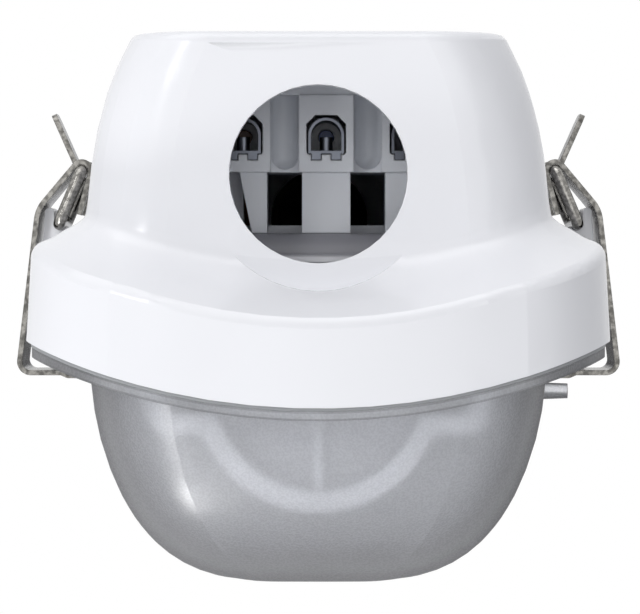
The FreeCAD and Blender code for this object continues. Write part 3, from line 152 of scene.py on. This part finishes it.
class Shader:
    """Node tree of one material or of the world."""

    MIX_FACTOR = 0
    MIX_COLOURS = (6, 7)
    MIX_RESULT = 2
    BEVEL_SAMPLES = 4

    def __init__(self, tree: bpy.types.NodeTree) -> None:
        """Start with an empty tree.

        Args:
            tree: Node tree to fill.
        """
        self.tree = tree
        tree.nodes.clear()

    def node(self, kind: str, settings: dict[str, Any] | None = None,
             inputs: dict[str | int, Any] | None = None) -> bpy.types.Node:
        """Add a node of any kind.

        Args:
            kind: Blender's type name of the node.
            settings: Properties of the node, set first.
            inputs: Numbers, colours or other values for its sockets, by name or place.

        Returns:
            The node.
        """
        node = self.tree.nodes.new(kind)
        for name, setting in (settings or {}).items():
            setattr(node, name, setting)
        for place, given in (inputs or {}).items():
            if isinstance(given, Value):
                self.tree.links.new(given.socket, node.inputs[place])
            else:
                node.inputs[place].default_value = given
        return node

    def add(self, kind: str, settings: dict[str, Any] | None = None,
            inputs: dict[str | int, Any] | None = None, output: str | int = 0) -> Value:
        """Add a node and take one of its outputs.

        Args:
            kind: Blender's type name of the node.
            settings: Properties of the node.
            inputs: What its sockets get.
            output: Name or place of the output to take.

        Returns:
            That output.
        """
        return Value(self, self.node(kind, settings, inputs).outputs[output])

    def place(self) -> Value:
        """Position on the object, in metres in the light's frame."""
        return self.add("ShaderNodeTexCoord", output="Object")

    def along(self, axis: Axis) -> Value:
        """Distance from the light's middle along one axis, in metres."""
        return self.add("ShaderNodeSeparateXYZ", None, {0: self.place()}, axis.value)

    def stretched(self, factors: Triple) -> Value:
        """Position on the object with each axis multiplied by a factor of its own."""
        return self.add("ShaderNodeVectorMath", {"operation": "MULTIPLY"}, {0: self.place(), 1: factors})

    def noise(self, size: float, detail: float = 2.0, vector: Value | None = None) -> Value:
        """Cloudy noise from 0 to 1.

        Args:
            size: Size of one cloud in metres.
            detail: Number of finer octaves.
            vector: Position to read it at, or the plain position.

        Returns:
            The noise.
        """
        inputs = {"Vector": vector or self.place(), "Scale": 1 / size, "Detail": detail}
        return self.add("ShaderNodeTexNoise", None, inputs)

    def mix(self, factor: Operand, first: Any, second: Any) -> Value:
        """Blend of two colours.

        Args:
            factor: Share of the second colour.
            first: Colour at zero.
            second: Colour at one.

        Returns:
            The blended colour.
        """
        inputs = {self.MIX_FACTOR: factor}
        for place, given in zip(self.MIX_COLOURS, (first, second)):
            inputs[place] = given if isinstance(given, Value) else (*given, 1.0)
        return self.add("ShaderNodeMix", {"data_type": "RGBA"}, inputs, self.MIX_RESULT)

    def soft_edge(self, radius: float) -> Value:
        """Normal that rolls over sharp edges.

        Args:
            radius: Radius of the rolled edge in metres.

        Returns:
            The normal.
        """
        return self.add("ShaderNodeBevel", {"samples": self.BEVEL_SAMPLES}, {"Radius": radius})

    def bump(self, height: Value, distance: float, normal: Value) -> Value:
        """Normal of a surface with fine relief.

        Args:
            height: Relief from 0 to 1.
            distance: Depth of the relief in metres.
            normal: Normal of the surface without it.

        Returns:
            The normal with the relief.
        """
        return self.add("ShaderNodeBump", None, {"Height": height, "Distance": distance, "Normal": normal})

    def glow(self, colour: Colour) -> Value:
        """Even light of one colour."""
        return self.add("ShaderNodeEmission", None, {"Color": (*colour, 1.0)})


@dataclass(frozen=True)
class Finish:
    """Surface finish of one or more pieces."""

    slot: str
    colour: Colour
    roughness: float

    def material(self) -> bpy.types.Material:
        """Make the finish as a Blender material.

        Returns:
            The material, named after its slot.
        """
        material = bpy.data.materials.new(self.slot)
        material.use_nodes = True
        shader = Shader(material.node_tree)
        shader.node("ShaderNodeOutputMaterial", None, {"Surface": self.surface(shader)})
        return material

    def surface(self, shader: Shader) -> Value:
        """Build the surface's nodes.

        Args:
            shader: Tree to add them to.

        Returns:
            The surface shader.
        """
        raise NotImplementedError


@dataclass(frozen=True)
class Moulding(Finish):
    """Moulded plastic or rubber: faint flow clouds, a fine skin and soft edges."""

    cloud_size: float = 25 * MM
    cloud_depth: float = 0.03
    skin_size: float = 0.6 * MM
    skin_depth: float = 0.004 * MM
    edge: float = 0.25 * MM
    cloud_limits: tuple[float, float] = (0.3, 0.7)
    gloss_change: float = 0.25
    ior: float = 1.5

    def clouded(self, shader: Shader, colour: Colour, clouds: Value) -> Value:
        """Colour with faint flow clouds.

        Args:
            shader: Tree to add the nodes to.
            colour: Colour of the lighter parts.
            clouds: Clouds from 0 to 1.

        Returns:
            The clouded colour.
        """
        shade = tuple(channel * (1 - self.cloud_depth) for channel in colour)
        return shader.mix(clouds.ramp(*self.cloud_limits), shade, colour)

    def base_colour(self, shader: Shader, clouds: Value) -> Value:
        """Colour over the surface.

        Args:
            shader: Tree to add the nodes to.
            clouds: Clouds from 0 to 1.

        Returns:
            The colour.
        """
        return self.clouded(shader, self.colour, clouds)

    def surface(self, shader: Shader) -> Value:
        """Cloudy colour, cloudy gloss and a fine skin relief."""
        clouds = shader.noise(self.cloud_size, detail=3.0)
        skin = shader.noise(self.skin_size)
        colour = self.base_colour(shader, clouds)
        roughness = self.roughness + (clouds - NOISE_MIDDLE) * (self.gloss_change * self.roughness)
        normal = shader.bump(skin, self.skin_depth, shader.soft_edge(self.edge))
        return shader.add("ShaderNodeBsdfPrincipled", None, {
            "Base Color": colour, "Roughness": roughness, "Normal": normal, "IOR": self.ior,
        })


@dataclass(frozen=True)
class BandedMoulding(Moulding):
    """Moulding that has a second colour beyond a distance from the light's middle."""

    second: Colour = (0.9, 0.9, 0.9)
    axis: Axis = Axis.LENGTH
    start: float = 0.0
    blend: float = 0.5 * MM

    def base_colour(self, shader: Shader, clouds: Value) -> Value:
        """First colour near the middle, second colour beyond the start of the band."""
        beyond = shader.along(self.axis).size().ramp(self.start, self.start + self.blend)
        near = self.clouded(shader, self.colour, clouds)
        return shader.mix(beyond, near, self.clouded(shader, self.second, clouds))


@dataclass(frozen=True)
class Frosted(Finish):
    """See-through plastic with a sanded skin."""

    transmission: float = 0.8
    grain_size: float = 0.3 * MM
    grain_depth: float = 0.03 * MM
    grain_shade: float = 0.1
    grain_limits: tuple[float, float] = (0.35, 0.65)
    flow_size: float = 30 * MM
    gloss_change: float = 0.2
    ior: float = 1.35
    edge: float = 0.2 * MM
    coat: float = 0.0
    coat_roughness: float = 0.25
    # The shares, colour, grain, roughness and gloss below belong to a dark matte surface mixed into the
    # outer faces towards a flat angle: painted shade at the silhouettes.
    painted_shade_share: float = 0.0
    painted_shade_grazing_share: float = 0.95
    facing_blend: float = 0.5
    first_rise: tuple[float, float] = (0.02, 0.5)
    last_rise: tuple[float, float] = (0.5, 0.9)
    painted_shade_colour: Colour = (0.2, 0.2, 0.21)
    painted_shade_grain: float = 0.3
    painted_shade_roughness: float = 0.6
    painted_shade_gloss: float = 0.1
    outward_scale: Triple = (1.0, 0.1, 1.0)
    middle: Triple = (0.0, 0.0, -50 * MM)
    arc_centre: float = 47.65 * MM
    shade_line_radii: tuple[float, ...] = ()
    shade_line_width: float = 0.25 * MM
    shade_line_share: float = 0.45

    def outer_face(self, shader: Shader) -> Value:
        """One on faces that look away from the middle of the piece, zero on the inner ones.

        Args:
            shader: Tree to add the nodes to.

        Returns:
            The mask.
        """
        outward = shader.add("ShaderNodeVectorMath", {"operation": "SUBTRACT"},
                             {0: shader.stretched(self.outward_scale), 1: self.middle})
        normal = shader.add("ShaderNodeTexCoord", output="Normal")
        along = shader.add("ShaderNodeVectorMath", {"operation": "DOT_PRODUCT"},
                           {0: outward, 1: normal}, "Value")
        return along > 0.0

    def painted_shade_lines(self, shader: Shader) -> Value | float:
        """Thin dark lines of painted shade along the edges of the curved flange.

        Args:
            shader: Tree to add the nodes to.

        Returns:
            One on the lines and zero elsewhere.
        """
        across = shader.along(Axis.ACROSS)
        up = shader.along(Axis.HEIGHT) - self.arc_centre
        radius = (across * across + up * up).root()
        lines: Value | float = 0.0
        for line_radius in self.shade_line_radii:
            lines = (radius - line_radius).size().ramp(0.5 * self.shade_line_width, self.shade_line_width, 1.0, 0.0) + lines
        return lines

    def surface(self, shader: Shader) -> Value:
        """Light passes through and scatters on a fine grain; towards a flat angle a dark matte surface is
        mixed into the outer faces, as painted shade at the silhouettes.
        """
        grain = shader.noise(self.grain_size, detail=1.0)
        flow = shader.noise(self.flow_size)
        shade = tuple(channel * (1 - self.grain_shade) for channel in self.colour)
        colour = shader.mix(grain.ramp(*self.grain_limits), shade, self.colour)
        # Painted shade: dark lines along the flange's edges.
        if self.shade_line_radii:
            colour = shader.mix(self.painted_shade_lines(shader) * self.shade_line_share, colour, self.painted_shade_colour)
        roughness = self.roughness + (flow - NOISE_MIDDLE) * (self.gloss_change * self.roughness)
        normal = shader.bump(grain, self.grain_depth, shader.soft_edge(self.edge))
        clear = shader.add("ShaderNodeBsdfPrincipled", None, {
            "Base Color": colour, "Roughness": roughness, "Normal": normal, "IOR": self.ior,
            "Transmission Weight": self.transmission, "Coat Weight": self.coat,
            "Coat Roughness": self.coat_roughness,
        })
        painted_shade_tone = tuple(channel * (1 - self.painted_shade_grain) for channel in self.painted_shade_colour)
        painted_shade_surface = shader.add("ShaderNodeBsdfPrincipled", None, {
            "Base Color": shader.mix(grain.ramp(*self.grain_limits), painted_shade_tone, self.painted_shade_colour),
            "Roughness": self.painted_shade_roughness, "Normal": normal, "Specular IOR Level": self.painted_shade_gloss,
        })
        # Painted shade: the dark matte surface takes over towards a flat angle on the outer faces.
        facing = shader.add("ShaderNodeLayerWeight", None,
                            {"Blend": self.facing_blend, "Normal": normal}, "Facing")
        early = facing.ramp(*self.first_rise) * self.painted_shade_share
        late = facing.ramp(*self.last_rise) * (self.painted_shade_grazing_share - self.painted_shade_share)
        share = (early + late) * self.outer_face(shader)
        return shader.add("ShaderNodeMixShader", None, {0: share, 1: clear, 2: painted_shade_surface})


class Lay(Enum):
    """Direction of a metal's fine lines, by how much each axis of the position is stretched.

    Along a clip's strip, the lines run across the light's length.
    """

    ALONG_STRIP = (1.0, 60.0, 1.0)
    EVEN = (1.0, 1.0, 1.0)


@dataclass(frozen=True)
class Metal(Finish):
    """Bare metal with fine drawn lines, dull spots and soft edges."""

    lay: Lay = Lay.EVEN
    line_size: float = 4 * MM
    line_depth: float = 0.004 * MM
    spot_size: float = 3 * MM
    spot_limits: tuple[float, float] = (0.35, 0.7)
    dullness: float = 0.2
    line_gloss: float = 0.5
    spot_gloss: float = 0.1
    edge: float = 0.15 * MM

    def surface(self, shader: Shader) -> Value:
        """Lines and spots change the gloss, and spots also the colour."""
        lines = shader.noise(self.line_size, detail=3.0, vector=shader.stretched(self.lay.value))
        spots = shader.noise(self.spot_size, detail=3.0)
        dull = tuple(channel * (1 - self.dullness) for channel in self.colour)
        colour = shader.mix(spots.ramp(*self.spot_limits), dull, self.colour)
        drawn = (lines - NOISE_MIDDLE) * (self.line_gloss * self.roughness)
        roughness = self.roughness + drawn + (spots - NOISE_MIDDLE) * self.spot_gloss
        normal = shader.bump(lines, self.line_depth, shader.soft_edge(self.edge))
        return shader.add("ShaderNodeBsdfPrincipled", None, {
            "Base Color": colour, "Roughness": roughness, "Normal": normal, "Metallic": 1.0,
        })


@dataclass(frozen=True)
class StripedSheath(Finish):
    """Wire insulation of two colours in long stripes."""

    second: Colour = (0.75, 0.6, 0.05)
    stripe: float = 4 * MM
    bands_per_stripe: float = 0.3
    stripe_limits: tuple[float, float] = (0.45, 0.55)
    skin_size: float = 0.5 * MM
    skin_depth: float = 0.004 * MM
    edge: float = 0.1 * MM

    def surface(self, shader: Shader) -> Value:
        """Stripes wind slowly round the wire."""
        waves = {"wave_type": "BANDS", "bands_direction": "DIAGONAL"}
        scale = self.bands_per_stripe / self.stripe
        bands = shader.add("ShaderNodeTexWave", waves, {"Vector": shader.place(), "Scale": scale})
        colour = shader.mix(bands.ramp(*self.stripe_limits), self.colour, self.second)
        skin = shader.noise(self.skin_size)
        normal = shader.bump(skin, self.skin_depth, shader.soft_edge(self.edge))
        return shader.add("ShaderNodeBsdfPrincipled", None, {
            "Base Color": colour, "Roughness": self.roughness, "Normal": normal,
        })


FINISHES = [
    Moulding("housing_white", (0.83, 0.835, 0.865), 0.22, skin_depth=0.0015 * MM, skin_size=2 * MM,
             cloud_depth=0.012, edge=0.1 * MM),
    # Both frosted finishes get painted shade at their silhouettes; the diffuser also gets painted shade
    # lines along its flange's edges.
    Frosted("diffuser_frosted", (0.95, 0.963, 1.0), 0.34, transmission=0.86, ior=1.25, coat=1.0,
            painted_shade_share=0.6, grain_shade=0.14, shade_line_radii=(101.6 * MM, 102.7 * MM)),
    Frosted("lens_opal", (0.9, 0.9, 0.89), 0.6, transmission=0.45, grain_depth=0.005 * MM),
    Moulding("seal_grey", (0.33, 0.34, 0.35), 0.6),
    Moulding("rubber_black", (0.022, 0.022, 0.023), 0.55, skin_depth=0.01 * MM),
    # Both clip steels are far darker than bare steel: painted dark reflections, standing in for dark
    # surroundings that the white studio lacks.
    Metal("clip_strip_steel", (0.27, 0.262, 0.245), 0.26, lay=Lay.ALONG_STRIP, spot_size=0.8 * MM,
          dullness=0.65),
    Metal("clip_wire_steel", (0.36, 0.35, 0.33), 0.2, spot_size=0.5 * MM, dullness=0.5),
    Moulding("tray_white", (0.84, 0.84, 0.84), 0.4, skin_size=1.2 * MM, skin_depth=0.01 * MM),
    # Grey zinc sheet, kept dark partly as painted shade on the ledge; the lighter band below 31.9 mm on the
    # low lip is painted light.
    BandedMoulding("bracket_zinc", (0.3, 0.3, 0.33), 0.4, second=(0.75, 0.75, 0.78), axis=Axis.HEIGHT,
                   start=31.9 * MM),
    # The cap's plate is darkened as painted shade, and its rim and rib sides beyond 304.9 mm are lightened
    # as painted light, the rim being lit through the nearby diffuser wall.
    BandedMoulding("cap_white", (0.64, 0.64, 0.65), 0.45, second=(0.97, 0.97, 0.98), start=304.9 * MM),
    Moulding("board_white", (0.86, 0.86, 0.84), 0.35),
    Moulding("led_yellow", (0.8, 0.6, 0.1), 0.2),
    Metal("screw_steel", (0.2, 0.215, 0.25), 0.4),
    Moulding("driver_white", (0.7, 0.7, 0.68), 0.5),
    Moulding("board_green", (0.03, 0.13, 0.05), 0.35),
    Moulding("component_black", (0.02, 0.02, 0.022), 0.4),
    Moulding("terminal_white", (0.72, 0.74, 0.78), 0.45),
    Metal("cage_zinc", (0.13, 0.14, 0.165), 0.35),
    Moulding("wire_brown", (0.16, 0.06, 0.025), 0.35),
    Moulding("wire_blue", (0.03, 0.09, 0.35), 0.35),
    StripedSheath("wire_green_yellow", (0.08, 0.32, 0.04), 0.35),
    Moulding("wire_red", (0.42, 0.02, 0.02), 0.35),
    Metal("lug_tin", (0.66, 0.66, 0.65), 0.35),
]


class Palette:
    """Materials of all finishes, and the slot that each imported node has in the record."""

    def __init__(self, finishes: list[Finish]) -> None:
        """Make every material once.

        Args:
            finishes: One finish for each slot.
        """
        self.materials = {finish.slot: finish.material() for finish in finishes}
        self.slots = {part["node"]: part["material_slot"] for part in frame["record"]["subparts"]}

    def dress(self, node: str) -> None:
        """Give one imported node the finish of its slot."""
        piece = frame["nodes"][node]
        piece.data.materials.clear()
        piece.data.materials.append(self.materials[self.slots[node]])
        LOG.info("dressed %s as %s", node, self.slots[node])

    def add_piece(self, name: str, mesh: bpy.types.Mesh, node: str, body: str) -> None:
        """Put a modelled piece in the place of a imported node.

        Args:
            name: Name of the piece.
            mesh: Its mesh, in the light's frame.
            node: Node that it stands for.
            body: Body that it rides on.
        """
        piece = bpy.data.objects.new(name, mesh)
        bpy.context.collection.objects.link(piece)
        mesh.materials.append(self.materials[self.slots[node]])
        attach(piece, body)
        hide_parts(node)
        LOG.info("built %s for %s", name, node)


@dataclass
class SubAssembly:
    """Pieces of the light that are built and dressed together."""

    palette: Palette
    body: str = "housing_body"

    def nodes(self) -> list[str]:
        """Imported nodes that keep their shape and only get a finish."""
        return []

    def build(self) -> None:
        """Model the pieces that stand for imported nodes, if it has any."""

    def dress(self) -> None:
        """Give every kept node its finish."""
        for node in self.nodes():
            self.palette.dress(node)


@dataclass
class CrossHeadScrews(SubAssembly):
    """Pan-head screws with a cross recess, all alike, in one group.

    Screws that are driven upward have their heads below the seat.
    """

    node: str = ""
    spots: tuple[tuple[float, float], ...] = ()
    seat: float = 0.0
    upward: bool = True
    shank: float = 4 * MM
    shank_radius: float = 1.25 * MM
    point: float = 0.6 * MM
    point_share: float = 0.5
    head_radius: float = 2.6 * MM
    head_height: float = 1.6 * MM
    head_round: float = 0.55 * MM
    crown: float = 0.3 * MM
    arm_length: float = 1.45 * MM
    arm_width: float = 0.6 * MM
    recess_depth: float = 0.95 * MM
    recess_taper: float = 0.7
    round_steps: int = 3
    segments: int = 32

    def profile(self) -> list[tuple[float, float]]:
        """Radius and height of each turned ring, from the head's crown to the shank's point."""
        rim = self.head_radius - self.head_round
        lower = self.head_height - self.crown
        turn = [0.5 * math.pi * step / self.round_steps for step in range(self.round_steps + 1)]
        rounded = [(rim + self.head_round * math.sin(angle),
                    lower - self.head_round * (1 - math.cos(angle))) for angle in turn]
        return rounded + [
            (self.head_radius, 0.0),
            (self.shank_radius, 0.0),
            (self.shank_radius, self.point - self.shank),
            (self.point_share * self.shank_radius, -self.shank),
        ]

    def cross(self, scale: float, height: float) -> list[Vector]:
        """Corners of the cross recess.

        Args:
            scale: Size against the recess's mouth.
            height: Height of the corners above the seat.

        Returns:
            Twelve corners in order round the cross.
        """
        far = self.arm_length * scale
        near = 0.5 * self.arm_width * scale
        quarter = [(far, -near), (far, near), (near, near)]
        corners = []
        for turn in range(4):
            for x, y in quarter:
                for _ in range(turn):
                    x, y = -y, x
                corners.append(Vector((x, y, height)))
        return corners

    def add_screw(self, mesh: bmesh.types.BMesh, spot: tuple[float, float]) -> None:
        """Add one screw to the group's mesh.

        Args:
            mesh: Mesh under construction.
            spot: Place of the screw across and along the light.
        """
        side = 1 if self.upward else -1

        def ring(points: list[Vector]) -> list[bmesh.types.BMVert]:
            """Add one vertex for each point of a ring."""
            return [mesh.verts.new((spot[0] + p.x, spot[1] + side * p.y, self.seat - side * p.z))
                    for p in points]

        def bridge(first: list[bmesh.types.BMVert], second: list[bmesh.types.BMVert]) -> None:
            """Join two rings of equal length with faces."""
            for index in range(len(first)):
                following = (index + 1) % len(first)
                mesh.faces.new((first[index], first[following], second[following], second[index]))

        angles = [math.tau * step / self.segments for step in range(self.segments)]
        rings = [ring([Vector((radius * math.cos(a), radius * math.sin(a), height)) for a in angles])
                 for radius, height in self.profile()]
        for first, second in zip(rings, rings[1:]):
            bridge(first, second)
        mesh.faces.new(rings[-1])
        mouth = ring(self.cross(1.0, self.head_height))
        floor = ring(self.cross(self.recess_taper, self.head_height - self.recess_depth))
        bridge(mouth, floor)
        mesh.faces.new(floor)
        loops = []
        for loop in (rings[0], mouth):
            for index, vert in enumerate(loop):
                pair = (vert, loop[(index + 1) % len(loop)])
                loops.append(mesh.edges.get(pair) or mesh.edges.new(pair))
        bmesh.ops.triangle_fill(mesh, edges=loops, use_beauty=True)

    def build(self) -> None:
        """Model the screws and put them in their node's place."""
        shape = bmesh.new()
        for spot in self.spots:
            self.add_screw(shape, spot)
        bmesh.ops.recalc_face_normals(shape, faces=shape.faces)
        mesh = bpy.data.meshes.new(f"{self.node}_cross_head")
        shape.to_mesh(mesh)
        shape.free()
        self.palette.add_piece(f"{self.node}_cross_head", mesh, self.node, self.body)


@dataclass
class Housing(SubAssembly):
    """White housing with its seal, the roof holes' washers and the rear plug."""

    def nodes(self) -> list[str]:
        """Housing and what is pressed into it."""
        return ["housing", "gasket", "fixing_seals", "blanking_plug"]


@dataclass
class Diffuser(SubAssembly):
    """Frosted bowl under the housing."""

    def nodes(self) -> list[str]:
        """The bowl alone."""
        return ["diffuser"]


@dataclass
class ToggleClip(SubAssembly):
    """One over-centre clip: a bent strip on a wire loop."""

    place: str = "left_front"

    def nodes(self) -> list[str]:
        """Strip and wire loop."""
        return [f"clip_latch_{self.place}", f"clip_link_{self.place}"]


@dataclass
class GearTray(SubAssembly):
    """White steel tray with its LED boards, opal lens and end caps."""

    floor: float = -57.4 * MM
    board: float = -59.0 * MM
    post_across: float = 18.8 * MM
    post_along: float = 150 * MM
    board_spots: tuple[float, ...] = (24 * MM, 156 * MM, 288 * MM)
    tray_shank: float = 10 * MM
    board_shank: float = 2.4 * MM

    def nodes(self) -> list[str]:
        """Sheet, boards, lens, caps and grommet."""
        ends = [f"{piece}_{end}" for piece in ("tray_end_cap", "led_board", "led_chips")
                for end in ("front", "rear")]
        return ["gear_tray", "inner_lens", "tray_grommet", *ends]

    def build(self) -> None:
        """Screws that hold the tray to its posts and the boards to the tray."""
        tray_spots = tuple((x * self.post_across, y * self.post_along) for x in (-1, 1) for y in (-1, 1))
        board_spots = tuple((0.0, end * along) for end in (-1, 1) for along in self.board_spots)
        CrossHeadScrews(self.palette, node="tray_screws", spots=tray_spots, seat=self.floor,
                        shank=self.tray_shank).build()
        CrossHeadScrews(self.palette, node="board_screws", spots=board_spots, seat=self.board,
                        shank=self.board_shank).build()


@dataclass
class Driver(SubAssembly):
    """LED driver in its case on the tray."""

    ear_top: float = -53.6 * MM
    ear_spots: tuple[float, ...] = (19 * MM, 249 * MM)
    shank: float = 3.8 * MM

    def nodes(self) -> list[str]:
        """Case, cover, circuit board and its components."""
        return ["driver_case", "driver_cover", "driver_board", "driver_components"]

    def build(self) -> None:
        """Screws through the case's ears."""
        spots = tuple((0.0, along) for along in self.ear_spots)
        CrossHeadScrews(self.palette, node="driver_screws", spots=spots, seat=self.ear_top, upward=False,
                        shank=self.shank).build()


@dataclass
class TerminalBlock(SubAssembly):
    """Three-pole terminal block behind the cable entry, on its bracket."""

    foot_top: float = -55.4 * MM
    foot_across: float = 18 * MM
    foot_along: float = -262 * MM
    shank: float = 4 * MM

    def nodes(self) -> list[str]:
        """Block, clamp cages, clamp screws and bracket."""
        return ["terminal_block", "terminal_cages", "terminal_screws", "terminal_bracket"]

    def build(self) -> None:
        """Screws through the bracket's foot."""
        spots = tuple((side * self.foot_across, self.foot_along) for side in (-1, 1))
        CrossHeadScrews(self.palette, node="bracket_screws", spots=spots, seat=self.foot_top, upward=False,
                        shank=self.shank).build()


@dataclass
class Wiring(SubAssembly):
    """Wires inside the light, with the earth wire's ring lug on the tray."""

    lug_top: float = -55.6 * MM
    lug_spot: tuple[float, float] = (17.8 * MM, -228 * MM)
    shank: float = 4 * MM

    def nodes(self) -> list[str]:
        """Five wires and the lug."""
        wires = [f"wire_{name}" for name in ("live", "neutral", "earth", "led_plus", "led_minus")]
        return [*wires, "earth_lug"]

    def build(self) -> None:
        """Screw through the lug's ring."""
        CrossHeadScrews(self.palette, node="earth_screw", spots=(self.lug_spot,), seat=self.lug_top,
                        upward=False, shank=self.shank).build()


@dataclass(frozen=True)
class SoftBox:
    """Lamp with a rectangular face, in metres and watts."""

    name: str
    place: Triple
    width: float
    height: float
    power: float

    def build(self, target: Vector) -> None:
        """Add the lamp, facing a point.

        Args:
            target: Point that its face looks at.
        """
        data = bpy.data.lights.new(self.name, "AREA")
        data.shape = "RECTANGLE"
        data.size = self.width
        data.size_y = self.height
        data.energy = self.power
        lamp = bpy.data.objects.new(self.name, data)
        bpy.context.collection.objects.link(lamp)
        lamp.location = self.place
        aim = target - Vector(self.place)
        lamp.rotation_euler = aim.to_track_quat("-Z", "Y").to_euler()


LAMPS = [
    SoftBox("key", place=(-0.87, -1.65, 0.6), width=0.26, height=0.5, power=4.2),
    SoftBox("low", place=(-0.95, -1.4, -0.8), width=0.12, height=0.8, power=4.4),
    SoftBox("bounce", place=(-0.42, -0.7, -0.78), width=0.16, height=0.16, power=2.6),
    SoftBox("fill", place=(0.2, -2.2, 0.3), width=1.6, height=1.2, power=5.0),
    SoftBox("top", place=(-0.4, -0.6, 1.5), width=1.4, height=1.4, power=11.5),
]


@dataclass
class Studio:
    """Camera, lamps, backdrop and floor."""

    photo_width: int = 640
    photo_height: int = 614
    middle_column: float = 318.3
    horizon_row: float = 265.0
    focal_pixels: float = 4560.0
    eye_distance: float = 650 * MM
    eye_height: float = -33.4 * MM
    end_wall: float = -313.5 * MM
    sensor: float = 36.0
    floor_height: float = -1.2
    floor_size: float = 20.0
    floor_colour: Colour = (0.8, 0.8, 0.8)
    floor_glow: float = 0.9
    target_height: float = -40 * MM
    nearest: float = 10 * MM
    backdrop: Colour = (1.0, 1.0, 1.0)
    ambient: Colour = (0.47, 0.475, 0.49)

    def build(self) -> None:
        """Set up the whole studio."""
        self.add_camera()
        self.add_world()
        self.add_floor()
        target = Vector((0, self.end_wall, self.target_height))
        for lamp in LAMPS:
            lamp.build(target)
        bpy.context.scene.view_settings.view_transform = "Standard"

    def add_camera(self) -> None:
        """Long lens, nearly level, in front of the cable entry."""
        data = bpy.data.cameras.new("camera")
        data.sensor_width = self.sensor
        data.sensor_fit = "HORIZONTAL"
        data.lens = self.focal_pixels * self.sensor / self.photo_width
        data.clip_start = self.nearest
        camera = bpy.data.objects.new("camera", data)
        bpy.context.collection.objects.link(camera)
        across = (0.5 * self.photo_width - self.middle_column) * self.eye_distance / self.focal_pixels
        camera.location = (across, self.end_wall - self.eye_distance, self.eye_height)
        tilt = math.atan2(0.5 * self.photo_height - self.horizon_row, self.focal_pixels)
        camera.rotation_euler = (0.5 * math.pi - tilt, 0, 0)
        bpy.context.scene.camera = camera

    def background_share(self, shader: Shader) -> Value:
        """One for rays that see the backdrop, straight or by gloss or glass.

        Args:
            shader: Tree to add the nodes to.

        Returns:
            The share, from 0 to 1.
        """
        seen = shader.add("ShaderNodeLightPath", output="Is Camera Ray")
        glossy = shader.add("ShaderNodeLightPath", output="Is Glossy Ray")
        passed = shader.add("ShaderNodeLightPath", output="Is Transmission Ray")
        return seen.largest(glossy).largest(passed)

    def add_world(self) -> None:
        """White backdrop with a softer light of its own."""
        world = bpy.data.worlds.new("studio")
        world.use_nodes = True
        bpy.context.scene.world = world
        shader = Shader(world.node_tree)
        colour = shader.mix(self.background_share(shader), self.ambient, self.backdrop)
        light = shader.add("ShaderNodeBackground", None, {"Color": colour})
        shader.node("ShaderNodeOutputWorld", None, {"Surface": light})

    def add_floor(self) -> None:
        """Pale floor that keeps a faint shadow."""
        half = 0.5 * self.floor_size
        corners = [(x * half, y * half, self.floor_height) for x, y in ((-1, -1), (1, -1), (1, 1), (-1, 1))]
        mesh = bpy.data.meshes.new("floor")
        mesh.from_pydata(corners, [], [(0, 1, 2, 3)])
        floor = bpy.data.objects.new("floor", mesh)
        bpy.context.collection.objects.link(floor)
        material = bpy.data.materials.new("floor")
        material.use_nodes = True
        shader = Shader(material.node_tree)
        matte = shader.add("ShaderNodeBsdfDiffuse", None, {"Color": (*self.floor_colour, 1.0)})
        white = shader.glow(self.backdrop)
        share = self.background_share(shader) * self.floor_glow
        both = shader.add("ShaderNodeMixShader", None, {0: share, 1: matte, 2: white})
        shader.node("ShaderNodeOutputMaterial", None, {"Surface": both})
        mesh.materials.append(material)


def main() -> None:
    """Build and dress every sub-assembly, then set up the studio."""
    logging.basicConfig(level=logging.INFO, format="%(message)s")
    palette = Palette(FINISHES)
    clips = [ToggleClip(palette, place=f"{side}_{place}")
             for side in ("left", "right") for place in ("front", "middle", "rear")]
    groups = [Housing(palette), Diffuser(palette), *clips, GearTray(palette), Driver(palette),
              TerminalBlock(palette), Wiring(palette)]
    for group in groups:
        group.build()
        group.dress()
    Studio().build()


if __name__ == "__main__":
    main()
